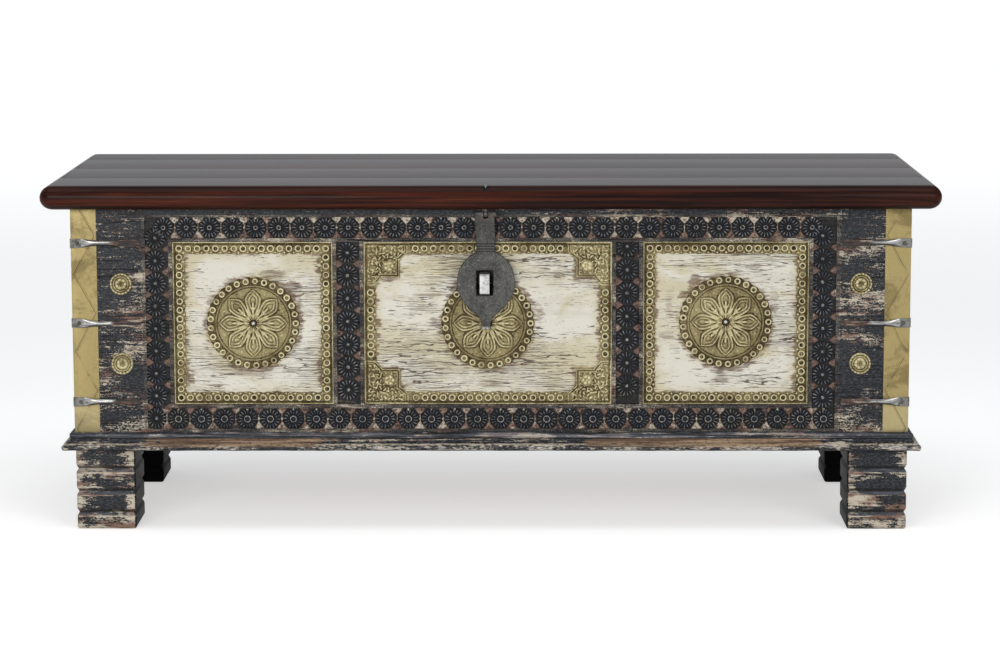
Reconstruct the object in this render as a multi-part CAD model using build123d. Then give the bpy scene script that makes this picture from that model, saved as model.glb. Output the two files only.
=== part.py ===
from build123d import *
import os

# Dowry chest: a plinth moulding on four lobed feet, a panelled box and a hinged lid with a hasp.
# Millimetres. Origin on the floor under the middle of the lid, +X to the right, +Z up,
# and the front faces -Y.

# ---------------------------------------------------------------- driving dimensions
lid_length = 1160.0
lid_depth = 410.0
lid_thick = 31.0
lid_corner_radius = 14.0
lid_edge_flat = 0.4
lid_front_board = 103.0
lid_rear_board = 77.0
side_overhang = 37.0
front_overhang = 29.0
rear_overhang = 20.0

foot_height = 107.5
foot_width = 78.0
foot_depth = 84.0
foot_proud = 0.5
foot_groove_depth = 3.2
foot_chamfer = 5.0
foot_edge_bevel = 2.4
foot_grooves = (22.6, 50.6, 80.8)

moulding_height = 22.0
moulding_projection = 16.5
floor_ledge = 20.0
nosing_height = 8.4
nosing_setback = 3.4
band_height = 6.0
band_reach = 7.0
band_edge = 1.2
band_quirk = 1.6

body_height = 295.0
wall_thick = 22.0
post_face = 90.5
post_leg = 70.0
tongue_thick = 8.0
tongue_depth = 8.0
joint_clearance = 0.3
floor_thick = 12.0
floor_board_count = 4
wall_board_count = 2

rail_strip = 36.5
top_lip = 7.5
stile_width = 39.5
centre_panel_width = 323.0
centre_shift = -3.5
channel_margin = 4.4
channel_depth = 3.0
rib_groove_offset = 1.7
rib_groove_width = 1.1
rib_groove_depth = 1.2
panel_thick = 12.0
panel_recess = 4.0
panel_groove = 8.0

brass_sheet = 0.8
corner_brass_width = 32.5
trim_width = 16.5
trim_thick = 1.0
ornament_width = 58.0
ornament_height = 58.0
ornament_arm = 15.5
ornament_shoulder = 24.5
ornament_lobe = 47.0
ornament_thick = 1.8

medallion_radius = 61.0
medallion_flange = 1.0
bead_count = 30
bead_ring_radius = 55.5
bead_radius = 4.4
bead_height = 1.5
bead_taper = 35.0
bead_facets = 5
ring_radius = 48.6
ring_width = 2.0
ring_height = 1.2
petal_count = 8
petal_root = 9.0
petal_tip = 44.5
petal_half_width = 10.4
petal_height = 1.4
petal_step = 3.4
hub_radius = 9.0
hub_height = 3.2
hub_taper = 40.0

boss_radius = 14.5
boss_height = 2.4
boss_facets = 12
boss_inset = 63.0
boss_low_margin = 91.0
boss_high_margin = 99.0

strap_low_margin = 40.5
strap_high_margin = 46.0
strap_length = 90.0
strap_end_thick = 1.0
strap_neck_thick = 4.6
strap_tip_thick = 2.1
strap_end_height = 12.2
strap_neck_height = 6.6
strap_tip_height = 10.6
strap_nail_inset = 10.0
nail_head_radius = 2.8
nail_head_height = 1.3
nail_head_taper = 40.0
nail_facets = 6
nail_shank = 2.2
nail_length = 12.0
nail_clearance = 0.05

hasp_x = -5.7
hasp_thick = 4.0
hasp_stand_off = 3.5
hasp_top_width = 27.0
hasp_neck_width = 22.4
hasp_neck_drop = 51.0
hasp_shoulder = 25.0
hasp_disc_drop = 97.0
hasp_disc_half_width = 37.7
hasp_disc_half_height = 42.0
hasp_tail_drop = 156.0
hasp_tail_root = 15.0
hasp_tail_waist = 9.0
hasp_tail_width = 6.2
hasp_nose_half = 5.2
hasp_nose_thick = 4.0
hasp_nose_bend = 16.0
hasp_slot_width = 21.0
hasp_slot_height = 32.0
hasp_slot_shift = -1.7
hasp_slot_radius = 3.0
hasp_nose_reach = 6.0
hasp_knuckle_radius = 4.2
hasp_pin_radius = 1.8
hasp_pin_drop = 6.0
hasp_pin_inset = 15.0
hasp_crank_top = 8.0
hasp_crank_low = 34.0
hasp_crank_lead = 2.0
hasp_eye_notch = 0.8
hasp_eye_width = 5.0
hasp_eye_gap = 0.4
eye_shank_radius = 2.4
eye_clinch_length = 8.0
eye_clinch_thick = 1.4
eye_clinch_fall = 2.4
eye_clinch_sink = 0.2
swage_height = 0.8
swage_width = 1.4
swage_pitch = 3.6

staple_width = 12.4
staple_thick = 4.4
staple_height = 27.0
staple_loop = 8.0
staple_clinch = 9.0
staple_clinch_thick = 3.0
staple_clearance = 0.1

hinge_x = 360.0
hinge_length = 60.0
hinge_leaf = 2.0
hinge_leaf_drop = 34.0
hinge_pin_offset = 4.0
hinge_knuckle_radius = 3.8
hinge_pin_radius = 1.6
running_clearance = 0.05
knuckle_gap = 0.3
lid_leaf_margin = 2.0
batten_x = 300.0
batten_width = 46.0
batten_thick = 18.0
batten_end_gap = 14.0
batten_chamfer = 8.0

# ---------------------------------------------------------------- derived places
body_half = lid_length / 2 - side_overhang
front_y = -lid_depth / 2 + front_overhang
back_y = lid_depth / 2 - rear_overhang
body_bottom = foot_height + moulding_height
body_top = body_bottom + body_height
inner_half = body_half - wall_thick
inner_front = front_y + wall_thick
inner_back = back_y - wall_thick

frame_half = body_half - post_face
open_half = frame_half - stile_width
open_low = body_bottom + rail_strip
open_high = body_top - top_lip - rail_strip
panel_z = (open_low + open_high) / 2
panel_face = front_y + panel_recess
panel_back = panel_face + panel_thick
centre_low = centre_shift - centre_panel_width / 2
centre_high = centre_shift + centre_panel_width / 2
bays = {
    "left": (-open_half, centre_low - stile_width),
    "centre": (centre_low, centre_high),
    "right": (centre_high + stile_width, open_half),
}

hasp_pin_y = -lid_depth / 2 + hasp_pin_inset
hasp_pin_z = body_top - hasp_pin_drop
hasp_back = front_y - hasp_stand_off
hasp_neck_z = body_top - hasp_neck_drop
hasp_disc_z = body_top - hasp_disc_drop
hasp_tail_z = body_top - hasp_tail_drop
hasp_front = hasp_back - hasp_thick
staple_z = hasp_disc_z
staple_crown_inner = hasp_front - staple_loop
staple_crown_outer = staple_crown_inner - staple_thick

lid_mid_board = (lid_depth - lid_front_board - lid_rear_board) / 2
strap_low = body_bottom + strap_low_margin
strap_high = body_top - strap_high_margin
strap_z = (strap_low, (strap_low + strap_high) / 2, strap_high)
boss_x = body_half - boss_inset
boss_z = (body_bottom + boss_low_margin, body_top - boss_high_margin)

hinge_y = back_y + hinge_pin_offset
hinge_z = body_top - hinge_pin_offset

parts = {}


# ---------------------------------------------------------------- helpers
def slab(x0, x1, y0, y1, z0, z1):
    """A box between two corners."""
    centre = Pos((x0 + x1) / 2, (y0 + y1) / 2, (z0 + z1) / 2)
    return centre * Box(x1 - x0, y1 - y0, z1 - z0)


def polygon(points):
    return make_face(Polyline(*points, close=True))


def rectangle(x0, x1, y0, y1):
    return Pos((x0 + x1) / 2, (y0 + y1) / 2) * Rectangle(x1 - x0, y1 - y0)


def forward(outline, y_back, thick):
    """An X-Z outline, extruded towards the front from the plane y_back."""
    plane = Plane(origin=(0, y_back, 0), x_dir=(1, 0, 0), z_dir=(0, -1, 0))
    return extrude(plane * outline, amount=thick)


def along_x(profile, x0, x1):
    """A Y-Z profile, extruded from x0 to x1."""
    plane = Plane(origin=(x0, 0, 0), x_dir=(0, 1, 0), z_dir=(1, 0, 0))
    return extrude(plane * profile, amount=x1 - x0)


def upward(outline, z0, z1):
    """An X-Y outline, extruded from z0 to z1."""
    return extrude(Plane.XY.offset(z0) * outline, amount=z1 - z0)


def mirrored(shape):
    return mirror(shape, about=Plane.YZ)


def group(shapes):
    return Compound(children=list(shapes))


def cut_all(shape, cutters):
    for cutter in cutters:
        shape = shape - cutter
    return shape


def prism(sides, radius, height, taper=0.0):
    """A regular prism that stands on the X-Y plane, drawn in by taper degrees."""
    return extrude(RegularPolygon(radius, sides), amount=height, taper=taper)


def nail(position, axis, clearance=0.0):
    """A forged nail: a faceted head on the surface at position, over a square shank."""
    side = nail_shank + 2 * clearance
    head = prism(nail_facets, nail_head_radius, nail_head_height, nail_head_taper)
    shank = extrude(Rectangle(side, side), amount=-(nail_length + clearance))
    return Plane(origin=position, z_dir=axis) * (head + shank)


# ---------------------------------------------------------------- feet
def lobed_outline(low, high):
    """A block's outline between low and high, with V-grooves in both edges."""
    bounds = (0.0,) + foot_grooves + (foot_height,)
    right = []
    for index in range(len(bounds) - 1):
        bottom, top = bounds[index], bounds[index + 1]
        first = foot_groove_depth if index else foot_chamfer / 2
        right.append((high - first, bottom))
        right.append((high, bottom + (foot_chamfer if index else foot_chamfer / 2)))
        if index < len(bounds) - 2:
            right.append((high, top - foot_chamfer))
    right.append((high, foot_height))
    left = [(low + high - across, z) for across, z in reversed(right)]
    return polygon(right + left)


def foot(x_low, x_high, y_low, y_high):
    across = forward(lobed_outline(x_low, x_high), y_high + 1, foot_depth + 2)
    deep = along_x(lobed_outline(y_low, y_high), x_low - 1, x_high + 1)
    plan = rectangle(x_low, x_high, y_low, y_high)
    plan = chamfer(plan.vertices(), foot_edge_bevel)
    return across & deep & upward(plan, 0, foot_height)


def build_feet():
    x_high = body_half + foot_proud
    x_low = x_high - foot_width
    front = front_y - foot_proud
    back = back_y + foot_proud
    for place, y_low in (("front", front), ("rear", back - foot_depth)):
        right = foot(x_low, x_high, y_low, y_low + foot_depth)
        parts[f"foot_{place}_right"] = right
        parts[f"foot_{place}_left"] = mirrored(right)


# ---------------------------------------------------------------- base moulding
def moulding_profile():
    """Outward distance against height: a flat band, a quirk, a cove and a round nosing."""
    inner = -(wall_thick + floor_ledge)
    top, low = body_bottom, foot_height
    nose = moulding_projection
    shoulder = low + nosing_height
    root = nose - nosing_setback
    cove_top = top - band_height - band_edge
    cove_in, cove_out = band_reach - band_quirk, root - band_edge / 2
    cove_fall = cove_top - shoulder
    outline = Polyline(
        (root, low), (inner, low), (inner, top), (band_reach - band_edge, top),
        (band_reach, top - band_edge), (band_reach, top - band_height), (cove_in, cove_top),
    )
    cove = ThreePointArc(
        (cove_in, cove_top),
        (cove_in + (cove_out - cove_in) * 0.3, cove_top - cove_fall * 0.7),
        (cove_out, shoulder),
    )
    step = Line((cove_out, shoulder), (root, shoulder))
    nosing = ThreePointArc((root, shoulder), (nose, low + nosing_height * 0.48), (root, low))
    return make_face(outline + cove + step + nosing)


def build_base():
    reach = moulding_projection
    edge_x = body_half + reach
    edge_y = front_y - reach
    ledge_x = inner_half - floor_ledge
    ledge_y = inner_front + floor_ledge
    profile = moulding_profile()
    facing_front = mirror(profile, about=Plane.YZ).moved(Location((front_y, 0, 0)))
    bar = along_x(facing_front, -edge_x - 1, edge_x + 1)
    mitre = polygon([(-edge_x, edge_y), (edge_x, edge_y), (ledge_x, ledge_y), (-ledge_x, ledge_y)])
    parts["base_moulding_front"] = bar & upward(mitre, foot_height - 1, body_bottom + 1)

    facing_side = profile.moved(Location((body_half, 0, 0)))
    side_bar = forward(facing_side, back_y, back_y - edge_y + 1)
    side_mitre = polygon([(ledge_x, ledge_y), (edge_x, edge_y), (edge_x, back_y), (ledge_x, back_y)])
    right = side_bar & upward(side_mitre, foot_height - 1, body_bottom + 1)
    parts["base_moulding_right"] = right
    parts["base_moulding_left"] = mirrored(right)
    parts["base_rail_rear"] = slab(
        -ledge_x, ledge_x, inner_back - floor_ledge, back_y, foot_height, body_bottom
    )
    width = 2 * inner_half / floor_board_count
    boards = []
    for index in range(floor_board_count):
        x0 = -inner_half + index * width
        boards.append(
            slab(
                x0 + joint_clearance / 2,
                x0 + width - joint_clearance / 2,
                inner_front + joint_clearance,
                inner_back - joint_clearance,
                body_bottom,
                body_bottom + floor_thick,
            )
        )
    parts["floor_boards"] = group(boards)


# ---------------------------------------------------------------- posts and plain walls
def strap_nail_places():
    """Where each strap is nailed on the right-hand corner, as (position, outward axis)."""
    on_front = front_y - brass_sheet - strap_end_thick
    on_side = body_half + brass_sheet + strap_end_thick
    for z in strap_z:
        yield (on_side - strap_nail_inset, on_front, z), (0, -1, 0)
        yield (on_side, on_front + strap_nail_inset, z), (1, 0, 0)


def build_posts():
    low, high = body_bottom, body_top
    wall_mid = body_half - wall_thick / 2
    groove = tongue_thick / 2
    plan = polygon([
        (frame_half, front_y),
        (body_half, front_y),
        (body_half, front_y + post_leg),
        (inner_half, front_y + post_leg),
        (inner_half, inner_front),
        (frame_half, inner_front),
    ])
    side_groove = slab(
        wall_mid - groove, wall_mid + groove,
        front_y + post_leg - tongue_depth, front_y + post_leg + 1, low - 1, high + 1,
    )
    front = upward(plan, low, high) - side_groove
    front = cut_all(front, [nail(p, a, nail_clearance) for p, a in strap_nail_places()])
    parts["post_front_right"] = front
    parts["post_front_left"] = mirrored(front)

    rear_plan = polygon([
        (body_half - post_leg, back_y),
        (body_half, back_y),
        (body_half, back_y - post_leg),
        (inner_half, back_y - post_leg),
        (inner_half, inner_back),
        (body_half - post_leg, inner_back),
    ])
    rear_groove = slab(
        wall_mid - groove, wall_mid + groove,
        back_y - post_leg - 1, back_y - post_leg + tongue_depth, low - 1, high + 1,
    )
    back_mid = back_y - wall_thick / 2
    back_groove = slab(
        body_half - post_leg - 1, body_half - post_leg + tongue_depth,
        back_mid - groove, back_mid + groove, low - 1, high + 1,
    )
    rear = upward(rear_plan, low, high) - rear_groove - back_groove
    parts["post_rear_right"] = rear
    parts["post_rear_left"] = mirrored(rear)


def build_walls():
    """Tongued boards between the posts, at both sides and the back."""
    tongue = tongue_thick / 2 - joint_clearance / 2
    reach = tongue_depth - joint_clearance
    side_low = front_y + post_leg
    side_high = back_y - post_leg
    wall_mid = body_half - wall_thick / 2
    back_mid = back_y - wall_thick / 2
    back_half = body_half - post_leg
    rise = body_height / wall_board_count
    side_boards = []
    back_boards = []
    for index in range(wall_board_count):
        z0 = body_bottom + index * rise
        z1 = z0 + rise
        board = slab(inner_half, body_half, side_low, side_high, z0, z1)
        board += slab(wall_mid - tongue, wall_mid + tongue, side_low - reach, side_high + reach, z0, z1)
        side_boards.append(board)
        board = slab(-back_half, back_half, inner_back, back_y, z0, z1)
        board += slab(-back_half - reach, back_half + reach, back_mid - tongue, back_mid + tongue, z0, z1)
        back_boards.append(board)
    parts["side_boards_right"] = group(side_boards)
    parts["side_boards_left"] = group(mirrored(board) for board in side_boards)
    parts["back_boards"] = group(back_boards)


# ---------------------------------------------------------------- carved front frame
def band(outer, inner, depth):
    """A sunk band between two concentric rectangles (x, z_low, z_high) of the front."""
    ring = rectangle(-outer[0], outer[0], outer[1], outer[2])
    ring -= rectangle(-inner[0], inner[0], inner[1], inner[2])
    return forward(ring, front_y + depth, depth + 1)


def ring_at(offset):
    """The frame's outer rectangle moved in by offset."""
    return frame_half - offset, body_bottom + offset, body_top - top_lip - offset


def opening_at(offset):
    """The opening's rectangle moved out by offset."""
    return open_half + offset, open_low - offset, open_high + offset


def ring_carving():
    first = rib_groove_offset
    second = first + rib_groove_width
    return [
        band(ring_at(channel_margin), opening_at(channel_margin), channel_depth),
        band(ring_at(first), ring_at(second), rib_groove_depth),
        band(opening_at(second), opening_at(first), rib_groove_depth),
    ]


def stile_carving(x0, x1):
    """The sunk channel and rib grooves of one inner stile."""
    margin = channel_margin
    first = rib_groove_offset
    second = first + rib_groove_width
    low, high = open_low - 1, open_high + 1
    channel = rectangle(x0 + margin, x1 - margin, low, high)
    cutters = [forward(channel, front_y + channel_depth, channel_depth + 1)]
    for a, b in ((x0 + first, x0 + second), (x1 - second, x1 - first)):
        cutters.append(forward(rectangle(a, b, low, high), front_y + rib_groove_depth, rib_groove_depth + 1))
    return cutters


def build_front_frame():
    thick = wall_thick
    lip = body_top - top_lip
    groove = slab(
        -open_half - panel_groove, open_half + panel_groove,
        panel_face, panel_back, open_low - panel_groove, open_high + panel_groove,
    )
    carving = ring_carving()
    top = polygon([
        (-frame_half, body_top), (frame_half, body_top), (frame_half, lip),
        (open_half, open_high), (-open_half, open_high), (-frame_half, lip),
    ])
    bottom = polygon([
        (-frame_half, body_bottom), (frame_half, body_bottom),
        (open_half, open_low), (-open_half, open_low),
    ])
    side = polygon([
        (frame_half, body_bottom), (frame_half, lip), (open_half, open_high), (open_half, open_low),
    ])
    parts["front_top_rail"] = cut_all(forward(top, inner_front, thick) - groove, carving)
    parts["front_bottom_rail"] = cut_all(forward(bottom, inner_front, thick) - groove, carving)
    outer = cut_all(forward(side, inner_front, thick) - groove, carving)
    parts["front_outer_stile_right"] = outer
    parts["front_outer_stile_left"] = mirrored(outer)

    tenon = panel_groove - joint_clearance
    for name, x0 in (("left", centre_low - stile_width), ("right", centre_high)):
        x1 = x0 + stile_width
        stile = slab(x0, x1, front_y, inner_front, open_low, open_high)
        for edge in (x0, x1):
            sides = (edge - panel_groove, edge + panel_groove)
            stile -= slab(*sides, panel_face, panel_back, open_low, open_high)
        stile = cut_all(stile, stile_carving(x0, x1))
        stile += slab(
            x0 + panel_groove, x1 - panel_groove, panel_face, panel_back, open_low - tenon, open_high + tenon
        )
        parts[f"front_inner_stile_{name}"] = stile


def build_panels():
    reach = panel_groove - joint_clearance
    for name, (x0, x1) in bays.items():
        panel = slab(x0 - reach, x1 + reach, panel_face, panel_back, open_low - reach, open_high + reach)
        if name == "centre":
            panel = cut_all(panel, staple_holes())
        parts[f"front_panel_{name}"] = panel


# ---------------------------------------------------------------- brass
def ornament_outline(x_sign, z_sign):
    """A corner plate: two short arms along the edges and a square lobe across the corner."""
    corner = (centre_low if x_sign < 0 else centre_high, open_low if z_sign < 0 else open_high)
    inward = [
        (0, 0), (ornament_width, 0), (ornament_width, ornament_arm),
        (ornament_lobe, ornament_shoulder), (ornament_lobe, ornament_lobe),
        (ornament_shoulder, ornament_lobe), (ornament_arm, ornament_height), (0, ornament_height),
    ]
    points = [(corner[0] - x_sign * u, corner[1] - z_sign * v) for u, v in inward]
    return polygon(points)


def build_trim():
    for name, (x0, x1) in bays.items():
        a, b = x0 + trim_width, x1 - trim_width
        low, high = open_low + trim_width, open_high - trim_width
        strips = [
            [(x0, open_low), (x1, open_low), (b, low), (a, low)],
            [(x0, open_high), (x1, open_high), (b, high), (a, high)],
            [(x0, open_low), (x0, open_high), (a, high), (a, low)],
            [(x1, open_low), (x1, open_high), (b, high), (b, low)],
        ]
        solids = [forward(polygon(points), panel_face, trim_thick) for points in strips]
        if name == "centre":
            plates = [
                forward(ornament_outline(sx, sz), panel_face, ornament_thick)
                for sx in (-1, 1) for sz in (-1, 1)
            ]
            solids = [cut_all(solid, plates) for solid in solids]
            parts["corner_ornaments"] = group(plates)
        parts[f"panel_trim_{name}"] = group(solids)


def petal(inset):
    """A pointed petal on the +X axis, its outline drawn in by inset."""
    root, tip = petal_root + inset, petal_tip - inset * 1.3
    side = petal_half_width - inset
    span = tip - root
    edge = [(root + span * 0.3, side * 0.72), (root + span * 0.6, side), (root + span * 0.82, side * 0.66)]
    return polygon([(root, 0)] + edge + [(tip, 0)] + [(x, -y) for x, y in reversed(edge)])


def medallion(x):
    """A repousse disc: flange, bead ring, plain ring, two-step petals and a hub."""
    ring = RegularPolygon(ring_radius + ring_width / 2, 3 * petal_count)
    ring -= RegularPolygon(ring_radius - ring_width / 2, 3 * petal_count)
    disc = prism(bead_count, medallion_radius, medallion_flange)
    lift = Pos(0, 0, medallion_flange)
    disc += lift * extrude(ring, amount=ring_height)
    bead = prism(bead_facets, bead_radius, bead_height, bead_taper)
    bead = Pos(bead_ring_radius, 0, medallion_flange) * bead
    for index in range(bead_count):
        disc += Rot(0, 0, index * 360 / bead_count) * bead
    leaf = extrude(petal(0), amount=petal_height) + extrude(petal(petal_step), amount=2 * petal_height)
    for index in range(petal_count):
        disc += Rot(0, 0, index * 360 / petal_count) * lift * leaf
    disc += lift * prism(2 * petal_count, hub_radius, hub_height, hub_taper)
    place = Plane(origin=(x, panel_face, panel_z), x_dir=(1, 0, 0), z_dir=(0, -1, 0))
    return place * disc


def medallion_nail_place(x):
    return (x, panel_face - medallion_flange - hub_height, panel_z), (0, -1, 0)


def build_brass():
    nails = []
    for name, (x0, x1) in bays.items():
        x = (x0 + x1) / 2
        disc = medallion(x)
        position, axis = medallion_nail_place(x)
        disc -= nail(position, axis, nail_clearance)
        parts[f"front_panel_{name}"] -= nail(position, axis, nail_clearance)
        if name == "centre":
            disc = cut_all(disc, staple_holes())
        parts[f"medallion_{name}"] = disc
        nails.append(nail(position, axis))
    parts["medallion_nails"] = group(nails)

    boss = prism(boss_facets, boss_radius, boss_height * 0.4)
    boss += prism(boss_facets, boss_radius * 0.45, boss_height, hub_taper)
    rim = RegularPolygon(boss_radius, boss_facets) - RegularPolygon(boss_radius * 0.78, boss_facets)
    boss += extrude(rim, amount=boss_height * 0.7)
    parts["stile_bosses"] = group(
        Plane(origin=(side * boss_x, front_y, z), z_dir=(0, -1, 0)) * boss
        for side in (-1, 1) for z in boss_z
    )

    edge = body_half - corner_brass_width
    plan = polygon([
        (edge, front_y - brass_sheet),
        (body_half + brass_sheet, front_y - brass_sheet),
        (body_half + brass_sheet, front_y + corner_brass_width),
        (body_half, front_y + corner_brass_width),
        (body_half, front_y),
        (edge, front_y),
    ])
    sheet = upward(plan, body_bottom, body_top)
    sheet = cut_all(sheet, [nail(p, a, nail_clearance) for p, a in strap_nail_places()])
    parts["corner_brass_right"] = sheet
    parts["corner_brass_left"] = mirrored(sheet)


# ---------------------------------------------------------------- iron straps
def strap_branch(z):
    """The branch of a corner strap that lies on the front: a flat end, a round neck and a leaf."""
    corner_x = body_half + brass_sheet + strap_end_thick
    back = front_y - brass_sheet
    end, neck, tip = strap_end_height / 2, strap_neck_height / 2, strap_tip_height / 2
    length = strap_length
    half = [
        (0, end), (length * 0.15, end), (length * 0.27, neck * 1.35), (length * 0.4, neck),
        (length * 0.62, neck), (length * 0.84, tip), (length * 0.94, tip * 0.95), (length, tip * 0.35),
    ]
    upper = [(corner_x - u, z + v) for u, v in half]
    lower = [(corner_x - u, z - v) for u, v in reversed(half)]
    blank = forward(polygon(upper + lower), front_y, strap_neck_thick + 2)
    crest = [
        (0, strap_end_thick), (length * 0.15, strap_end_thick), (length * 0.3, strap_neck_thick),
        (length * 0.52, strap_neck_thick * 0.85), (length * 0.84, strap_tip_thick), (length, brass_sheet),
    ]
    plan = [(corner_x, back)] + [(corner_x - u, back - w) for u, w in crest]
    seat = length - 4
    plan += [(corner_x - length, front_y), (corner_x - seat, front_y)]
    plan += [(body_half - corner_brass_width - 4, front_y), (body_half - corner_brass_width - 1, back)]
    return blank & upward(polygon(plan), z - end - 1, z + end + 1)


def build_straps():
    corner_x = body_half + brass_sheet + strap_end_thick
    corner_y = front_y - brass_sheet - strap_end_thick
    fold = Plane(origin=(corner_x, corner_y, 0), z_dir=(1, 1, 0))
    holes = [nail(p, a, nail_clearance) for p, a in strap_nail_places()]
    straps = []
    for z in strap_z:
        branch = strap_branch(z)
        strap = branch + mirror(branch, about=fold)
        straps.append(cut_all(strap, holes))
    parts["corner_straps_right"] = group(straps)
    parts["corner_straps_left"] = group(mirrored(strap) for strap in straps)
    nails = [nail(p, a) for p, a in strap_nail_places()]
    parts["strap_nails"] = group(nails + [mirrored(n) for n in nails])


# ---------------------------------------------------------------- lock staple and hasp
def staple_profile(clearance):
    """The bent flat bar in Y-Z: crown in front, two legs through the panel, ends clinched behind."""
    half = staple_height / 2 + clearance
    leg = staple_thick + 2 * clearance
    back = panel_back
    outer = [
        (back, staple_z + half), (staple_crown_outer, staple_z + half),
        (staple_crown_outer, staple_z - half), (back, staple_z - half),
        (back, staple_z - half + leg), (staple_crown_inner, staple_z - half + leg),
        (staple_crown_inner, staple_z + half - leg), (back, staple_z + half - leg),
    ]
    return polygon(outer)


def staple_holes():
    """The two slots that the staple's legs pass through."""
    half = staple_height / 2 + staple_clearance
    leg = staple_thick + 2 * staple_clearance
    x0 = hasp_x + hasp_slot_shift - staple_width / 2 - staple_clearance
    x1 = x0 + staple_width + 2 * staple_clearance
    low, high = staple_z - half, staple_z + half
    reach = (panel_face - 10, panel_back + 1)
    return [slab(x0, x1, *reach, low, low + leg), slab(x0, x1, *reach, high - leg, high)]


def build_staple():
    x0 = hasp_x + hasp_slot_shift - staple_width / 2
    x1 = x0 + staple_width
    half = staple_height / 2
    bar = along_x(staple_profile(0), x0, x1)
    crown = [e for e in bar.edges().filter_by(Axis.X) if e.center().Y < staple_crown_outer + 0.01]
    bar = fillet(crown, staple_thick * 0.8)
    back = (panel_back, panel_back + staple_clinch_thick)
    bar += slab(x0, x1, *back, staple_z + half - staple_thick, staple_z + half + staple_clinch)
    bar += slab(x0, x1, *back, staple_z - half - staple_clinch, staple_z - half + staple_thick)
    parts["lock_staple"] = bar


def hasp_outline():
    """The hasp in X-Z: neck, oval disc and drawn-out tail."""
    x = hasp_x
    top, neck = hasp_top_width / 2, hasp_neck_width / 2
    disc_low = hasp_disc_z - hasp_disc_half_height
    high = hasp_pin_z - hasp_knuckle_radius * 0.4
    shoulder = high - hasp_shoulder
    blade = polygon([
        (x - top, high), (x + top, high), (x + top, shoulder), (x + neck, hasp_neck_z),
        (x + neck, hasp_disc_z), (x - neck, hasp_disc_z), (x - neck, hasp_neck_z), (x - top, shoulder),
    ])
    disc = Pos(x, hasp_disc_z) * Ellipse(hasp_disc_half_width, hasp_disc_half_height)
    tail_length = disc_low - hasp_tail_z
    right = [
        (hasp_tail_root, disc_low + tail_length * 0.3), (hasp_tail_waist, disc_low - tail_length * 0.2),
        (hasp_tail_width, disc_low - tail_length * 0.6), (hasp_nose_half, hasp_tail_z - 1),
    ]
    tail = polygon([(x + u, z) for u, z in right] + [(x - u, z) for u, z in reversed(right)])
    slot = RectangleRounded(hasp_slot_width, hasp_slot_height, hasp_slot_radius)
    slot = Pos(x + hasp_slot_shift, staple_z) * slot
    return blade + disc + tail - slot


def hasp_side():
    """The bent plate in Y-Z, from the pin down to the rolled nose."""
    back, front = hasp_back, hasp_front
    pin_z, tail_z = hasp_pin_z, hasp_tail_z
    neck_back = hasp_pin_y + hasp_knuckle_radius
    neck_front = neck_back - hasp_thick + 0.4
    crank_top, crank_low = pin_z - hasp_crank_top, pin_z - hasp_crank_low
    nose_y, nose = front - hasp_nose_reach, hasp_nose_thick
    bend = tail_z + hasp_nose_bend
    return polygon([
        (neck_front, pin_z), (neck_back, pin_z), (neck_back, crank_top),
        (back, crank_low), (back, bend), (back - nose * 0.65, tail_z + nose), (nose_y + nose * 0.55, tail_z),
        (nose_y, tail_z + nose * 0.4), (nose_y, tail_z + nose), (front - nose * 0.4, tail_z + 2 * nose),
        (front, bend + hasp_crank_lead), (front, crank_low - hasp_crank_lead),
        (neck_front, crank_top - hasp_crank_lead),
    ])


def build_hasp():
    x = hasp_x
    blank = forward(hasp_outline(), inner_front, inner_front + lid_depth)
    body = blank & along_x(hasp_side(), x - hasp_disc_half_width - 1, x + hasp_disc_half_width + 1)
    axis = (x - hasp_top_width / 2, hasp_pin_y, hasp_pin_z)
    barrel = Plane(origin=axis, z_dir=(1, 0, 0)) * Cylinder(
        hasp_knuckle_radius, hasp_top_width, align=(Align.CENTER, Align.CENTER, Align.MIN)
    )
    body += barrel
    for step in (-1, 0, 1):
        z = hasp_neck_z + step * swage_pitch
        body += slab(
            x - hasp_neck_width / 2, x + hasp_neck_width / 2,
            hasp_front - swage_height, hasp_front, z - swage_width / 2, z + swage_width / 2,
        )
    bore = Plane(origin=(axis[0] - 1, axis[1], axis[2]), z_dir=(1, 0, 0)) * Cylinder(
        hasp_pin_radius, hasp_top_width + 2, align=(Align.CENTER, Align.CENTER, Align.MIN)
    )
    half_gap = hasp_eye_width / 2 + hasp_eye_gap
    notch_low = hasp_pin_z - hasp_knuckle_radius - hasp_eye_notch
    notch_reach = 2 * hasp_knuckle_radius
    notch = slab(
        x - half_gap, x + half_gap, hasp_pin_y - notch_reach, hasp_pin_y + notch_reach,
        notch_low, hasp_pin_z + notch_reach,
    )
    body = body - bore - notch
    pin = Plane(origin=axis, z_dir=(1, 0, 0)) * Cylinder(
        hasp_pin_radius, hasp_top_width, align=(Align.CENTER, Align.CENTER, Align.MIN)
    )
    parts["hasp"] = body
    parts["hasp_pin"] = pin

    eye_radius = hasp_knuckle_radius
    eye = Plane(origin=(x - hasp_eye_width / 2, hasp_pin_y, hasp_pin_z), z_dir=(1, 0, 0)) * Cylinder(
        eye_radius, hasp_eye_width, align=(Align.CENTER, Align.CENTER, Align.MIN)
    )
    eye += eye_shank(0)
    clear_bore = Plane(origin=(x - hasp_eye_width, hasp_pin_y, hasp_pin_z), z_dir=(1, 0, 0)) * Cylinder(
        hasp_pin_radius + running_clearance, 2 * hasp_eye_width, align=(Align.CENTER, Align.CENTER, Align.MIN)
    )
    parts["hasp_eye"] = eye - clear_bore


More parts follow.
